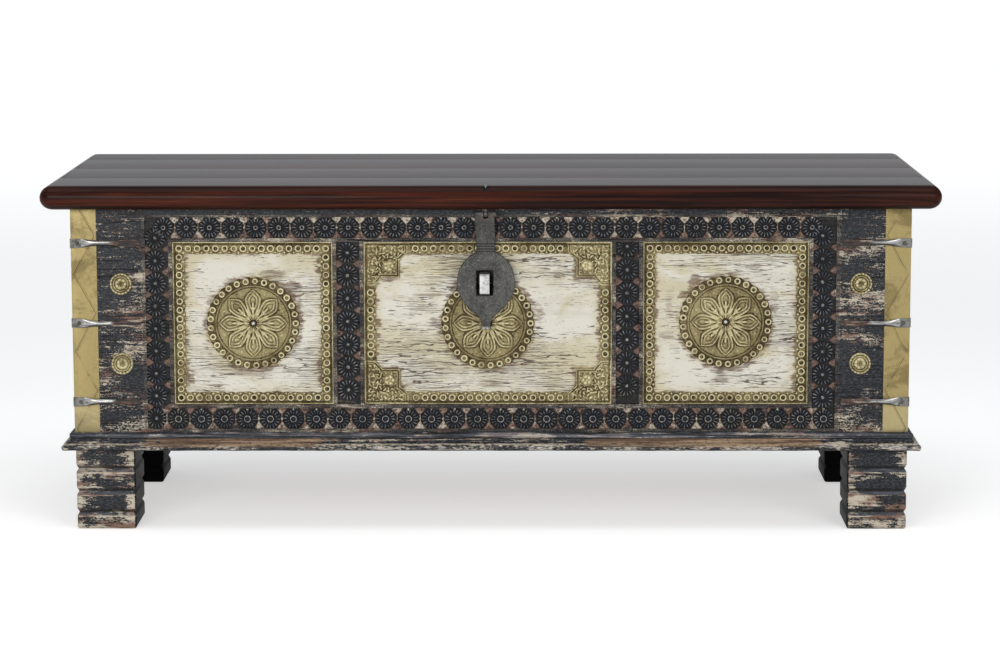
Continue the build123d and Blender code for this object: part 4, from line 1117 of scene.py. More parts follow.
def moulding_bar(name, side, finish):
    """One length of the base moulding, mitred at its ends and slightly uneven from wear."""
    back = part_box("base_moulding_left")[1].y
    steps = 90 if side == "front" else 34
    hand = -1 if side == "left" else 1
    rings = []
    for k in range(steps + 1):
        ring = []
        for out, z in moulding_profile():
            corner = Vector((BODY_HALF + out, FRONT_Y - out, z))
            if side == "front":
                point = Vector((corner.x * (2 * k / steps - 1), corner.y, z))
            else:
                point = Vector((corner.x * hand, corner.y + (back - corner.y) * k / steps, z))
            if out > 2 * MM:
                wear = math.sin(point.x * 71 + point.y * 53) + math.sin(point.x * 163 + z * 900)
                shift = (wear - 2) * 0.14 * MM
                point += Vector((0, -shift, 0) if side == "front" else (shift * hand, 0, 0))
                point.z += wear * 0.16 * MM
            ring.append(point)
        rings.append(ring)
    return new_piece(name, *loft(rings), finish, 32)


# ---------------------------------------------------------------- pieces: carving
def rosette_motif(radius, ring):
    """A carved flower facing the front: narrow petals that rise towards their tips, round a hub
    ringed at that radius, or a small dome where ring is 0."""
    across = (0.0, 1.2, 2.1, 1.2, 0.0)
    sectors = bpy.context.scene.chest_carving.petals * len(across)
    middle = 0.2 if ring else 3.2
    rows = [(1.1 * MM, 3.2), (2.0 * MM, 2.4), (2.7 * MM, 0.3)]
    if ring:
        rows = [(ring + out * MM, rise) for out, rise in ((-0.9, 0.3), (-0.3, 3.0), (0.4, 3.0), (1.1, 0.3))]
    hub_rows = len(rows)
    rows += [(part * radius, rise) for part, rise in (
        (0.42, 0.45), (0.52, 0.75), (0.64, 0.95), (0.76, 1.0), (0.86, 0.95), (0.94, 0.7), (1.0, 0.0))]
    vertices = [(0, -middle * MM, 0)]
    for index, (r, rise) in enumerate(rows):
        for k, angle in enumerate(around(sectors)):
            spread = across[k % len(across)]
            height = rise if index < hub_rows else 0.3 * (rise > 0) + spread * rise
            tip = 1 - 0.11 * (1 - spread / 2.1) * (r / radius) ** 3
            vertices.append((tip * r * math.cos(angle), -height * MM, tip * r * math.sin(angle)))
    return motif_of("rosette", *fan(vertices, sectors, len(rows)))


def spandrel_motif(side, stem=0.0):
    """A low carved drop pointing along -Z from the strip's edge, drawn by one side in millimetres,
    with a thin stem."""
    right = list(side)
    if stem:
        right.append((side[-1][0], side[-1][1] - stem))
    outline = [(x * MM, z * MM) for x, z in right + [(-x, z) for x, z in reversed(right)]]
    inner = [(x * 0.78, z * 0.94 - 0.4 * MM) for x, z in outline]
    return motif_of("drop", *loft([[(x, 0, z) for x, z in outline], [(x, -2.4 * MM, z) for x, z in inner]]))


def carving_rows():
    """Each carved strip: its name, first rosette, step and count, how dusty its paint and how pale
    its hubs are, the radius of their rings, and the low and high edge of its channel.

    The rows were set out by eye, so each has its own start and the stiles' ones lean a little."""
    carving = bpy.context.scene.chest_carving
    along = Vector((carving.rail_pitch, 0, 0))
    low_first = Vector((-408.1 * MM, 0, BODY_BOTTOM + 17.4 * MM))
    high_first = Vector((-423.7 * MM, 0, BODY_TOP - 25.6 * MM))
    rows = [
        ("low", low_first, along * 1.0015, 29, (0.25, 0.9, carving.hub), (BODY_BOTTOM, OPEN_LOW)),
        ("high", high_first, along * 0.9987, 29, (1.0, 0.6, carving.hub * 0.6), (OPEN_HIGH, TOP_STRIP)),
    ]
    left, centre, right = BAYS["left"], BAYS["centre"], BAYS["right"]
    for name, x, first, lean, pitch, count, dusty, edges in (
        ("outer_left", -434.6, 39.1, -0.25, 29.7, 9, 0.45, (-FRAME_HALF, -OPEN_HALF)),
        ("inner_left", -185.6, 58.2, 0.0, 30.16, 7, 0.8, (left[1].x, centre[0].x)),
        ("inner_right", 177.1, 50.3, 0.0, 30.6, 7, 0.3, (centre[1].x, right[0].x)),
        ("outer_right", 429.3, 36.3, 0.4, 30.43, 8, 0.4, (OPEN_HALF, FRAME_HALF)),
    ):
        start = Vector((x * MM, 0, BODY_TOP - first * MM))
        rows.append((name, start, Vector((lean * MM, 0, -pitch * MM)), count, (dusty, 0.7, 0), edges))
    return [(*row, (low + CHANNEL_MARGIN, high - CHANNEL_MARGIN)) for *row, (low, high) in rows]


# ---------------------------------------------------------------- pieces: embossed brass
def ridge(distance, width):
    return np.exp(-(distance / width) ** 2)


def lotus_height(r, a):
    """Height of a medallion: eight ogee petals, each a fine outline and a raised band round a
    ribbed teardrop, on a hammered field within a ring; the rim under the beads lies lower."""
    turn = 2 * np.pi / 8
    local = (a + turn / 2) % turn - turn / 2
    along, aside = r * np.cos(local), np.abs(r * np.sin(local))

    def petal(root, belly, tip, half, point):
        """Distance outside an ogee petal's side, at right angles to it, roughly."""
        swell = np.sin(np.pi / 2 * np.clip((along - root) / (belly - root), 0, 1)) ** 1.25
        past = np.clip((along - belly) / (tip - belly), 0, 1)
        side = half * swell * (1 - past ** point)
        return np.where(along > tip, (along - tip) + aside, (aside - side) * 0.75)

    def step(away, soft=0.25 * MM):
        return 1 / (1 + np.exp(np.clip(away / soft, -40, 40)))

    outer = petal(3 * MM, 32 * MM, 44.6 * MM, 10.2 * MM, 1.6)
    tear = petal(12 * MM, 30.5 * MM, 37.5 * MM, 5.9 * MM, 2.2)
    rib = petal(3 * MM, 22 * MM, 28.5 * MM, 1.5 * MM, 3.0)
    height = np.full_like(r, 1.3 * MM)
    height += 0.22 * MM * np.sin(a * 173) * np.sin(r * 3100) * np.cos(a * 61 + r * 900)
    height -= 0.9 * MM * ridge(outer - 0.9 * MM, 0.6 * MM) * (r > 9 * MM)
    height += 1.7 * MM * ridge(outer + 0.7 * MM, 0.75 * MM)
    height += 0.55 * MM * step(outer + 1.2 * MM)
    height -= 1.1 * MM * ridge(outer + 2.7 * MM, 0.55 * MM)
    height += 1.3 * MM * ridge(tear + 0.4 * MM, 0.8 * MM) * step(outer + 1.5 * MM)
    height -= 0.9 * MM * ridge(tear + 2.1 * MM, 0.6 * MM) * step(tear + 0.8 * MM)
    height += 1.6 * MM * step(rib, 0.3 * MM) - 0.8 * MM * ridge(rib - 0.7 * MM, 0.45 * MM)
    between = turn / 2 - np.abs(local)
    spread, far = r * np.sin(between), r * np.cos(between)
    height += 1.5 * MM * ridge(np.hypot(spread, far - 41 * MM), 1.2 * MM)
    height += 1.5 * MM * ridge(spread, 0.7 * MM) * step(far - 21 * MM, 0.8 * MM)
    height += 0.9 * MM * (0.5 + 0.5 * np.cos(a * 16)) ** 2 * step(r - 14 * MM, 1.2 * MM)
    height += 1.3 * MM * ridge(r - 48.6 * MM, 0.65 * MM) - 0.8 * MM * ridge(r - 46.9 * MM, 0.6 * MM)
    height = np.where(r > 50.0 * MM, 0.5 * MM, height)
    height = np.where(r < 5.0 * MM, 0.2 * MM, height)
    return np.clip(np.where(r > 59.4 * MM, 0.2 * MM, height), 0.1 * MM, 4.2 * MM)


def medallion_centre(name):
    """The middle of a bay's medallion. The right one sits a little high."""
    low, high = BAYS[name]
    rise = 1.6 * MM if name == "right" else 0
    return Vector(((low.x + high.x) / 2, PANEL_Y, PANEL_Z + rise))


def boss_height(r, a):
    """Height of a stile boss: a beaded rim, a groove and a ring of petals round a dark middle."""
    height = np.full_like(r, 0.8 * MM)
    bead = 0.5 + 0.5 * np.cos(a * 18)
    height += (0.1 + 1.9 * bead) * MM * ridge(r - 12.8 * MM, 1.1 * MM)
    height -= 0.6 * MM * ridge(r - 10.9 * MM, 0.5 * MM)
    height += 1.1 * MM * ridge(r - 9.5 * MM, 0.6 * MM)
    height -= 0.6 * MM * ridge(r - 8.2 * MM, 0.5 * MM)
    lobe = np.abs(np.cos(a * 3.5)) ** 0.5
    height += 1.6 * MM * lobe * ridge(r - 5.4 * MM, 1.5 * MM)
    height -= 0.5 * MM * ridge(r, 2.6 * MM)
    return np.clip(np.where(r > 14.3 * MM, 0.0, height), 0, 2.4 * MM)


def ornament_shape(u, v):
    """A corner plate in its own corner, u and v inwards: a square lobe whose two shoulders slope
    to the trim, a band outside, a double line inside, and a thicket of leaves round a flower."""
    lobe, root, reach, band = 47 * MM, 24.5 * MM, 58 * MM, 15.5 * MM
    inner, outer = np.maximum(u, v) - lobe, np.minimum(u, v)
    for p, q in ((u, v), (v, u)):
        slope = np.maximum((p - lobe) * 0.68 + (q - root) * 0.74, p - reach)
        inner = np.minimum(inner, np.maximum(slope, q - root))
        inner = np.minimum(inner, np.maximum(q - band, p - reach))
    height = 0.8 * MM + 1.0 * MM * ridge(outer - 1.5 * MM, 1.0 * MM)
    height -= 0.8 * MM * ridge(outer - 4.0 * MM, 0.7 * MM)
    inside = outer > 4.6 * MM
    for line in (1.0, 4.1):
        height += 1.3 * MM * ridge(inner + line * MM, 0.8 * MM) * inside
    height -= 0.8 * MM * ridge(inner + 2.6 * MM, 0.6 * MM) * inside
    clear = (inner < -5.4 * MM) & inside
    r, a = np.hypot(u - 33 * MM, v - 32 * MM), np.arctan2(v - 32 * MM, u - 33 * MM)
    flower = 1.5 * MM * np.abs(np.cos(a * 2.5)) ** 0.6 * ridge(r - 4.4 * MM, 2.1 * MM)
    flower += 1.6 * MM * ridge(r, 1.2 * MM)
    leaves = np.zeros_like(u)
    for row in range(11):
        for column in range(11):
            turn = math.sin(row * 12.9 + column * 78.2) * 43758.5
            turn -= math.floor(turn)
            x, y = 6.2 + 4.9 * column + 2.2 * turn, 6.2 + 4.9 * row + 1.4 * math.sin(turn * 9)
            lean = 3.1 * turn + 0.8 * (row + column)
            du, dv = u - x * MM, v - y * MM
            p = du * math.cos(lean) + dv * math.sin(lean)
            q = dv * math.cos(lean) - du * math.sin(lean)
            bend = q - 0.16 * (turn - 0.3) * p * p / MM
            within = np.hypot(p / 3.7, bend / 1.2) / MM
            leaf = 1.2 * MM * (within < 0.8) - 0.5 * MM * ridge((within - 1.2) * 1.3 * MM, 0.6 * MM)
            leaves = np.where(np.abs(leaf) > np.abs(leaves), leaf, leaves)
    height += np.where(r < 8 * MM, flower, leaves) * clear
    return np.maximum(inner, -outer), np.maximum(height, 0.25 * MM)


def corner_ornament(name, sign_x, sign_z, finish):
    low, high = BAYS["centre"]
    corner = Vector((high.x if sign_x > 0 else low.x, PANEL_Y, high.z if sign_z > 0 else low.z))

    def lift(u, v, height):
        return corner.x - sign_x * u, corner.y - height, corner.z - sign_z * v

    return plate_relief(
        name, (-0.7 * MM, -0.7 * MM), (59.5 * MM, 59.5 * MM), 0.7 * MM, ornament_shape, lift, finish,
        smooth=70, back=0.1 * MM,
    )


def ring_count(total):
    """How many ring pitches fit between the two corner rings of a side, and that pitch."""
    brass = bpy.context.scene.chest_brass
    clear = total - 2 * brass.ring_line
    count = max(2, round(clear / brass.ring_pitch))
    return count, clear / count


def trim_strip(start, end, inward, width):
    """One mitred strip of embossed trim: two outer ribs, a groove and a scalloped inner edge."""
    brass = bpy.context.scene.chest_brass
    total = (end - start).length
    along = (end - start).normalized()
    count, pitch = ring_count(total)
    section = ((0, 0), (0, 0.9), (0.7, 1.7), (1.7, 1.7), (2.3, 0.5), (3.0, 1.3), (3.5, 0.3), (4.4, 0.3),
               (5.0, 0.8))
    rings = []
    for k in range(-5, count * 6 + 6):
        place = brass.ring_line + pitch * k / 6
        inner = width - brass.scallop * (1 - abs(math.sin(math.pi * k / 6)) ** 0.7)
        ring = []
        for across, height in [(x * MM, h) for x, h in section] + [(inner, 0.8), (inner, 0)]:
            point = start + along * min(max(place, across), total - across) + inward * across
            ring.append((point.x, point.y - height * MM, point.z))
        rings.append(ring)
    return loft(rings)


def trim_sides(name):
    """The four sides of a bay, each as (start, end, inward direction, turn of its motifs)."""
    low, high = BAYS[name]
    y = PANEL_Y
    a, b = Vector((low.x, y, low.z)), Vector((high.x, y, low.z))
    c, d = Vector((high.x, y, high.z)), Vector((low.x, y, high.z))
    right, up = Vector((1, 0, 0)), Vector((0, 0, 1))
    return [(a, b, up, 0.0), (b, c, -right, -math.pi / 2), (c, d, -up, math.pi), (d, a, right, math.pi / 2)]


# ---------------------------------------------------------------- pieces: ironwork
def superellipse(half_u, half_v, power, count=20):
    points = []
    for angle in around(count, 0.5):
        c, s = math.cos(angle), math.sin(angle)
        points.append((half_u * math.copysign(abs(c) ** (2 / power), c),
                       half_v * math.copysign(abs(s) ** (2 / power), s)))
    return points


def strap(side, z, seat, reach, bend):
    """A forged strap round one corner: flat ends, a round neck and a leaf, along both faces."""
    stations = (
        (0.0, 6.1, 1.0, 7), (0.08, 6.1, 1.0, 7), (0.15, 6.0, 1.1, 6), (0.21, 5.2, 2.6, 3.4),
        (0.27, 4.3, 3.8, 2.4), (0.34, 3.6, 4.5, 2.1), (0.42, 3.3, 4.3, 2.0), (0.52, 3.2, 3.8, 2.0),
        (0.62, 3.4, 3.2, 2.2), (0.73, 4.4, 2.6, 2.6), (0.84, 5.3, 2.1, 3), (0.94, 4.9, 1.4, 3),
        (0.98, 3.4, 1.0, 2.5), (1.0, 1.6, 0.7, 2.2),
    )
    corner = Vector((side * (BODY_HALF + seat), FRONT_Y - seat, z))
    out_front, out_side = Vector((0, -1, 0)), Vector((side, 0, 0))

    def ring(origin, outward, station):
        """The strap's section: half high in Z and thick outwards."""
        _, half_high, thick, power = station
        return [origin + outward * (thick * MM / 2 + u) + Vector((0, 0, v))
                for u, v in superellipse(thick * MM / 2, half_high * MM, power)]

    def arm(outward, along, sway):
        """Rings from the corner to the tip, stepping down from the brass to the wood."""
        rings = []
        for station in stations:
            place = station[0] * reach
            drop = min(1, max(0, (place - 33 * MM) / (10 * MM))) * seat
            rise = Vector((0, 0, sway * math.sin(math.pi * station[0])))
            rings.append(ring(corner + along * place - outward * drop + rise, outward, station))
        return rings

    turn = [out_front.lerp(out_side, k / 5).normalized() for k in range(1, 5)]
    return loft([
        *reversed(arm(out_front, -out_side, bend)),
        *(ring(corner, outward, stations[0]) for outward in turn),
        *arm(out_side, -out_front, -bend),
    ])


def through(value, *points):
    """Straight lines through (place, result) points in millimetres."""
    return np.interp(value / MM, *zip(*points)) * MM


def hasp_shape(u, v):
    """The hasp's outline about the disc's centre, and its thickness with hammered edges."""
    edge = bpy.context.scene.chest_iron.edge
    disc = (np.hypot(u / (37.7 * MM), v / (42 * MM)) - 1) * 38.5 * MM
    lower = through(v, (-42, 10.5), (-38, 17.0), (-29.5, 25.6), (-21, 31.6), (-12, 36.2), (-2, 42))
    disc = np.maximum(disc, (np.abs(u) - lower) * 0.85 - (v > -2 * MM) * 20 * MM)
    width = through(v, (40, 11.8), (46, 12.2), (64, 12.7), (88, 12.9), (90.6, 12.0))
    neck = np.abs(u - through(v, (44, 0), (90, -1.4))) - width
    neck = np.maximum(neck, np.maximum(20 * MM - v, v - 90.6 * MM))
    half = through(v, (-59.5, 4.2), (-58, 5.4), (-54, 5.9), (-50, 6.5), (-46, 8.3), (-42, 11.8), (-38, 17.0),
                   (-32, 23))
    tail = np.maximum((np.abs(u) - half) * 0.8, np.maximum(-59.5 * MM - v, v + 30 * MM))
    away = np.minimum(np.minimum(disc, neck), tail)
    blend = 4 * MM
    for other, fullness in ((neck, 0.8), (tail, 0.6)):
        gap = np.abs(disc - other)
        away = away - np.where(gap < blend, (blend - gap) ** 2 / (4 * blend) * fullness, 0)
    slot_u, slot_v = np.abs(u + 1.7 * MM) - 8.7 * MM, np.abs(v) - 14.2 * MM
    slot = np.hypot(np.maximum(slot_u, 0), np.maximum(slot_v, 0)) + np.minimum(np.maximum(slot_u, slot_v), 0)
    away = np.maximum(away, 1.8 * MM - slot)
    away = np.maximum(away, np.minimum(2.9 * MM - np.abs(u), v - 85.6 * MM))
    inset = np.clip(-away, 0, edge)
    height = 4.0 * MM - edge + np.sqrt(np.maximum(edge ** 2 - (edge - inset) ** 2, 0))
    height += through(v, (66, 0), (72, 0.4), (88, 4.2))
    for line in (39.5, 43.0, 46.5, 50.0):
        height += 1.0 * MM * ridge(v - line * MM, 0.9 * MM) * (np.abs(u) < 12.6 * MM)
    height += 0.2 * MM * np.sin(u * 310 + v * 170) * np.sin(v * 420 + u * 120)
    for dent_u, dent_v in ((-1.0, -38.0), (1.2, -44.5), (-0.8, -50.5)):
        height -= 0.9 * MM * ridge(np.hypot(u - dent_u * MM, v - dent_v * MM), 2.6 * MM)
    return away, height


def hasp_plate(name, centre, finish):
    """The hasp: bent forward to its pin at the top and rolled out at its nose."""
    seat = FRONT_Y - 3.5 * MM
    rise = (centre.y + 4.2 * MM - seat) / MM

    def lift(u, v, height):
        bend = through(v, (-59.5, -7.0), (-56, -4.6), (-50, -1.6), (-43, 0), (57, 0), (83, rise), (91, rise))
        return centre.x + u, seat + float(bend) - height, centre.z - HASP_REACH + v

    low, high = (-39 * MM, -61 * MM), (39 * MM, 92 * MM)
    return plate_relief(name, low, high, 0.75 * MM, hasp_shape, lift, finish, smooth=50)


def screw_motif(facing):
    """A countersunk slotted screw head, seat at the origin."""
    turn = Vector((0, 0, 1)).rotation_difference(Vector(facing)).to_matrix()
    rings = []
    for radius, height in ((3.6, 0.0), (3.312, 0.35), (1.8, 0.6)):
        ring = []
        for angle in around(16, 0.5):
            x, y = radius * math.cos(angle), radius * math.sin(angle)
            cut = 0.5 if abs(y) < 0.72 and height else 0
            ring.append(turn @ Vector((x, y, height - cut)) * MM)
        rings.append(ring)
    return motif_of("screw", *loft(rings))


# ---------------------------------------------------------------- operators
class CHEST_OT_stage(bpy.types.Operator):
    """Makes the camera, the pale floor, the soft lights and the surrounding light"""

    bl_idname = "chest.stage"
    bl_label = "Stage"

    def execute(self, context):
        scene = context.scene
        stage = scene.chest_stage
        yaw, pitch, roll = -0.009904, 0.137989, -0.002038
        forward = Vector((math.sin(yaw) * math.cos(pitch), math.cos(yaw) * math.cos(pitch), -math.sin(pitch)))
        right = Vector((math.cos(yaw), -math.sin(yaw), 0))
        up = right.cross(forward)
        tilted_right = right * math.cos(roll) + up * math.sin(roll)
        tilted_up = up * math.cos(roll) - right * math.sin(roll)
        lens = bpy.data.cameras.new("camera")
        lens.lens, lens.sensor_width, lens.shift_y = stage.focal, 36, -0.0835
        camera = add_object("camera", lens)
        camera.matrix_world = Matrix((
            (tilted_right.x, tilted_up.x, -forward.x, 0.048018),
            (tilted_right.y, tilted_up.y, -forward.y, -3.77033),
            (tilted_right.z, tilted_up.z, -forward.z, 0.86883),
            (0, 0, 0, 1),
        ))
        scene.camera = camera

        s = Shader("floor")
        s.set(Base_Color=stage.floor, Roughness=0.9)
        path = s.new("LightPath").outputs
        seen = s.largest(path["Is Camera Ray"], path["Is Glossy Ray"], path["Is Transmission Ray"])
        glow = s.ramp(s.distance((0, 0, 0)), 1.2, 5.0, 0.5, 0.75)
        s.set(Emission_Color=(1, 1, 1), Emission_Strength=s.times(seen, glow))
        mesh = bpy.data.meshes.new("floor")
        far = 40
        mesh.from_pydata([(-far, -far, 0), (far, -far, 0), (far, far, 0), (-far, far, 0)], [], [(0, 1, 2, 3)])
        mesh.materials.append(s.material)
        add_object("floor", mesh)

        for name, place, aim, size, size_y, power, tint in (
            ("key light", (-1.0, -2.6, 0.95), (-0.1, 0, 0.25), 1.3, 0.9, stage.key, (1.0, 0.985, 0.96)),
            ("fill light", (1.6, -2.6, 1.5), (0.1, 0, 0.25), 1.4, 1.4, stage.key * 0.9, (1.0, 0.99, 0.98)),
            ("top light", (0.0, -0.4, 2.2), (0, 0, 0.3), 2.6, 1.2, stage.top, (1, 1, 1)),
        ):
            lamp = bpy.data.lights.new(name, "AREA")
            lamp.shape, lamp.size, lamp.size_y = "RECTANGLE", size, size_y
            lamp.energy, lamp.color = power, tint
            light = add_object(name, lamp)
            light.location = place
            light.rotation_euler = (Vector(aim) - Vector(place)).to_track_quat("-Z", "Y").to_euler()

        world = bpy.data.worlds.new("studio")
        world.use_nodes = True
        background = world.node_tree.nodes["Background"]
        background.inputs["Color"].default_value = (0.93, 0.96, 1.0, 1)
        background.inputs["Strength"].default_value = stage.world
        scene.world = world
        scene.view_settings.view_transform = "Standard"
        return {"FINISHED"}


class CHEST_OT_lid(bpy.types.Operator):
    """Makes the four lacquered lid boards and finishes the battens"""

    bl_idname = "chest.lid"
    bl_label = "Lid"

    def execute(self, context):
        slab = lid_slab()
        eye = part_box("hasp_eye")
        hole = Vector(((eye[0].x + eye[1].x) / 2, eye[0].y + 2.4 * MM, LID_HIGH.z - 1.4 * MM))
        lacquer = material(lid_lacquer, "lid lacquer", hole)
        for node in ("lid_board_front", "lid_board_mid_front", "lid_board_mid_rear", "lid_board_rear"):
            low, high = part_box(node)
            settle(lid_board(f"{node}_finish", slab, low.y, high.y, lacquer), "lid", "lid_wood", node)
        wood = material(bare_wood, "batten wood", srgb(96, 60, 40), srgb(46, 26, 18))
        ease_node("lid_battens", "lid", "lid_wood", 1.5 * MM, wood)
        return {"FINISHED"}


class CHEST_OT_body(bpy.types.Operator):
    """Eases and paints the posts, walls, rails, floor, feet and moulding"""

    bl_idname = "chest.body"
    bl_label = "Painted body"

    def execute(self, context):
        posts = material(black_paint, "post paint", 0.3)
        # sunk gives the rails painted shade in their carved channels.
        rails = material(black_paint, "rail paint", 0.12, 1.2 * MM, 0.45, sunk=0.85)
        sides = material(black_paint, "wall paint", 0.12)
        feet = {
            "front": material(foot_paint, "front foot paint", -1, 0.7),
            "rear": material(foot_paint, "rear foot paint", 1, 0.93),
        }
        for depth in ("front", "rear"):
            for side, _ in SIDES:
                ease_node(f"post_{depth}_{side}", "chest", "black_paint", 0.7 * MM, posts, 20 * MM)
                ease_node(f"foot_{depth}_{side}", "chest", "black_paint", 1.3 * MM, feet[depth], 1 * MM)
        for node in ("side_boards_left", "side_boards_right", "back_boards", "base_rail_rear"):
            ease_node(node, "chest", "black_paint", 1.2 * MM, sides, 20 * MM)
        for part in ("top_rail", "bottom_rail", "inner_stile_left", "inner_stile_right",
                     "outer_stile_left", "outer_stile_right"):
            paint_node(f"front_{part}", rails)
        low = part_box("base_moulding_front")[0].z
        moulding = material(moulding_paint, "moulding paint", low, ((-335, 120), (285, 145)))
        for side in ("front", "left", "right"):
            bar = moulding_bar(f"base_moulding_{side}_finish", side, moulding)
            settle(bar, "chest", "black_paint", f"base_moulding_{side}")
        wood = material(bare_wood, "floor wood", srgb(148, 112, 80), srgb(88, 60, 40))
        paint_node("floor_boards", wood)
        return {"FINISHED"}


class CHEST_OT_panels(bpy.types.Operator):
    """Paints the three cream panels, stained round their brass"""

    bl_idname = "chest.panels"
    bl_label = "Cream panels"

    def execute(self, context):
        smears = {
            "left": (
                (28, 64, 24, 8, 0.8), (51, 45, 8, 17, 0.7), (61, 26, 5, 22, 0.6), (-7, -67, 34, 5, 0.55),
                (-84, -72, 7, 7, 0.8), (92, -75, 6, 15, 0.7), (7, -81.5, 1.7, 1.7, 0.9),
            ),
            "centre": (
                (-53, 85, 15, 3, 0.6), (-75, 37, 30, 2.5, 0.6), (66, 6, 8, 15, 0.7), (7, -60, 38, 5, 0.6),
                (-70, 2, 7, 9, 0.6), (0, -79, 18, 5, 0.5), (92, 62, 12, 4, 0.6),
            ),
            # On the right panel the long faint smear at (62, 20), beside the disc, is a painted shadow of the
            # disc; the others are stains.
            "right": (
                (-41, 54, 10, 10, 0.85), (-57, 35, 4, 8, 0.8), (40, 74, 14, 3.5, 0.65), (-73, 24, 5, 15, 0.4),
                (-78, -17, 14, 10, 0.55), (62, 20, 8, 32, 0.3), (-4, -75, 20, 5, 0.55),
            ),
        }
        for name, (low, high) in BAYS.items():
            centre = Vector(((low.x + high.x) / 2, PANEL_Y, PANEL_Z))
            corners = []
            if name == "centre":
                corners = [Vector((x, PANEL_Y, z)) for x in (low.x, high.x) for z in (low.z, high.z)]
            inset = Vector((TRIM_WIDTH, 0, TRIM_WIDTH))
            paint_node(f"front_panel_{name}", material(
                cream_paint, f"cream paint {name}", low + inset, high - inset, centre, corners,
                smears[name], 0.04 if corners else 0.025,
            ))
        return {"FINISHED"}


class CHEST_OT_carving(bpy.types.Operator):
    """Carves the rosettes and the triangles between them into the front frame"""

    bl_idname = "chest.carving"
    bl_label = "Carving"

    def execute(self, context):
        carving = context.scene.chest_carving
        shield = ((6.6, 0), (6.3, -2.6), (4.2, -5.2), (1.4, -7.4), (0.6, -8.4))
        bell = ((8.0, 0), (6.6, -1.6), (4.4, -4.4), (2.3, -7.4), (0.6, -9.8))
        drop = ((5.8, 0), (4.6, -3.2), (2.4, -6.2), (0.6, -8.2))
        for index, (name, first, step, count, (dusty, hubs, ring), edges) in enumerate(carving_rows()):
            level = step.z == 0
            start = Vector((first.x, CHANNEL_FLOOR, first.z))
            low_y, high_y = CHANNEL_FLOOR - 0.4 * MM, CHANNEL_FLOOR - 3.4 * MM
            finish = material(carved_paint, f"carved paint {name}", low_y, high_y, dusty, hubs)
            rosette = rosette_motif(carving.rail_radius if level else carving.stile_radius, ring)
            pitch = step.length * 0.999
            route = ([start, start + step * (count - 1)], 0.0)
            repeated(f"rosettes_{name}", "chest", "black_paint", rosette, [route], pitch, finish,
                     0.2, 0.02, 7 + index)
            lead = -0.5 if name == "low" else 0.5
            last = count - 2 + (name == "low")
            between = [start + step * lead, start + step * (lead + last)]
            pale = {"low": (0.5, 0.6), "high": (0.85, 0.5)}.get(name, (0.25, 0.25))
            far = (0.0, 0.0, shield) if level else (math.pi / 2, 0.0, drop)
            near = (math.pi, 10.0, bell) if level else (-math.pi / 2, 0.0, drop)
            for edge, place, tint, (turn, stem, shape) in (
                ("far", edges[1], pale[0], far), ("near", edges[0], pale[1], near),
            ):
                route = [Vector((p.x, p.y, place) if level else (place, p.y, p.z)) for p in between]
                wood = material(worn_wood, f"worn drops {name} {edge}", tint)
                repeated(f"drops_{name}_{edge}", "chest", "black_paint", spandrel_motif(shape, stem),
                         [(route, turn)], pitch, wood, 0.04, 0.1, 31 + index, 30)
            if level:
                dome = turned([(1.5 * MM, 0), (1.3 * MM, 1.8 * MM), (0.7 * MM, 2.8 * MM)], 8)
                over = Vector((0, 0, 12.6 * MM))
                routes = [(between, 0.0), ([start + over, start + over + step * (count - 1)], 0.0)]
                repeated(f"dots_{name}", "chest", "black_paint", motif_of("dot", *dome), routes, pitch,
                         material(worn_wood, "worn dots", 0.9), 0.0, 0.2, 41 + index, 30)
        return {"FINISHED"}


class CHEST_OT_trim(bpy.types.Operator):
    """Embosses the brass trim of each panel, with its rings, and the corner plates"""

    bl_idname = "chest.trim"
    bl_label = "Panel trim"

    def execute(self, context):
        brass = context.scene.chest_brass
        finish = material(embossed_brass, "trim brass", PANEL_Y, 1.1 * MM, 2.2 * MM)
        hollow = material(brass_hollow, "brass hollow")
        lift = Vector((0, -0.9 * MM, 0))
        r = brass.ring_radius
        ring = ((r, 0), (r * 0.95, 1.5 * MM), (r * 0.7, 1.5 * MM), (r * 0.62, 0.25 * MM),
                (r * 0.3, 0.25 * MM), (r * 0.2, 0.7 * MM))
        dot = ((1.5 * MM, 0), (1.2 * MM, 0.9 * MM), (0.5 * MM, 1.3 * MM))
        for name in BAYS:
            sides = trim_sides(name)
            strips = [trim_strip(start, end, inward, TRIM_WIDTH) for start, end, inward, _ in sides]
            plate = new_piece(f"panel_trim_{name}_finish", *merge(strips), finish, 40)
            settle(plate, "chest", "old_brass", f"panel_trim_{name}")
            for direction, pair in (("across", sides[0::2]), ("up", sides[1::2])):
                count, pitch = ring_count((pair[0][1] - pair[0][0]).length)
                skip = 5 if name == "centre" else int(direction == "up")
                routes, dots = [], []
                for start, end, inward, turn in pair:
                    along = (end - start).normalized()
                    first = start + along * (brass.ring_line + pitch * skip) + inward * brass.ring_line + lift
                    last = first + along * pitch * (count - 2 * skip)
                    routes.append(([first, last], turn))
                    aside = along * pitch / 2 + inward * 5.4 * MM
                    dots.append(([first + aside, last + aside - along * pitch], turn))
                repeated(f"trim_rings_{name}_{direction}", "chest", "old_brass",
                         motif_of("ring", *turned(ring, 12), 3 * 12), routes, pitch * 0.999, finish,
                         0.2, 0.06, 3, 40, hollow)
                repeated(f"trim_beads_{name}_{direction}", "chest", "old_brass",
                         motif_of("dot", *turned(dot, 8)), dots, pitch * 0.999, finish, 0.0, 0.15, 5)
        for x_name, sign_x in SIDES:
            for z_name, sign_z in (("low", -1), ("high", 1)):
                plate = corner_ornament(f"corner_ornament_{x_name}_{z_name}", sign_x, sign_z, finish)
                settle(plate, "chest", "old_brass", "corner_ornaments")
        return {"FINISHED"}


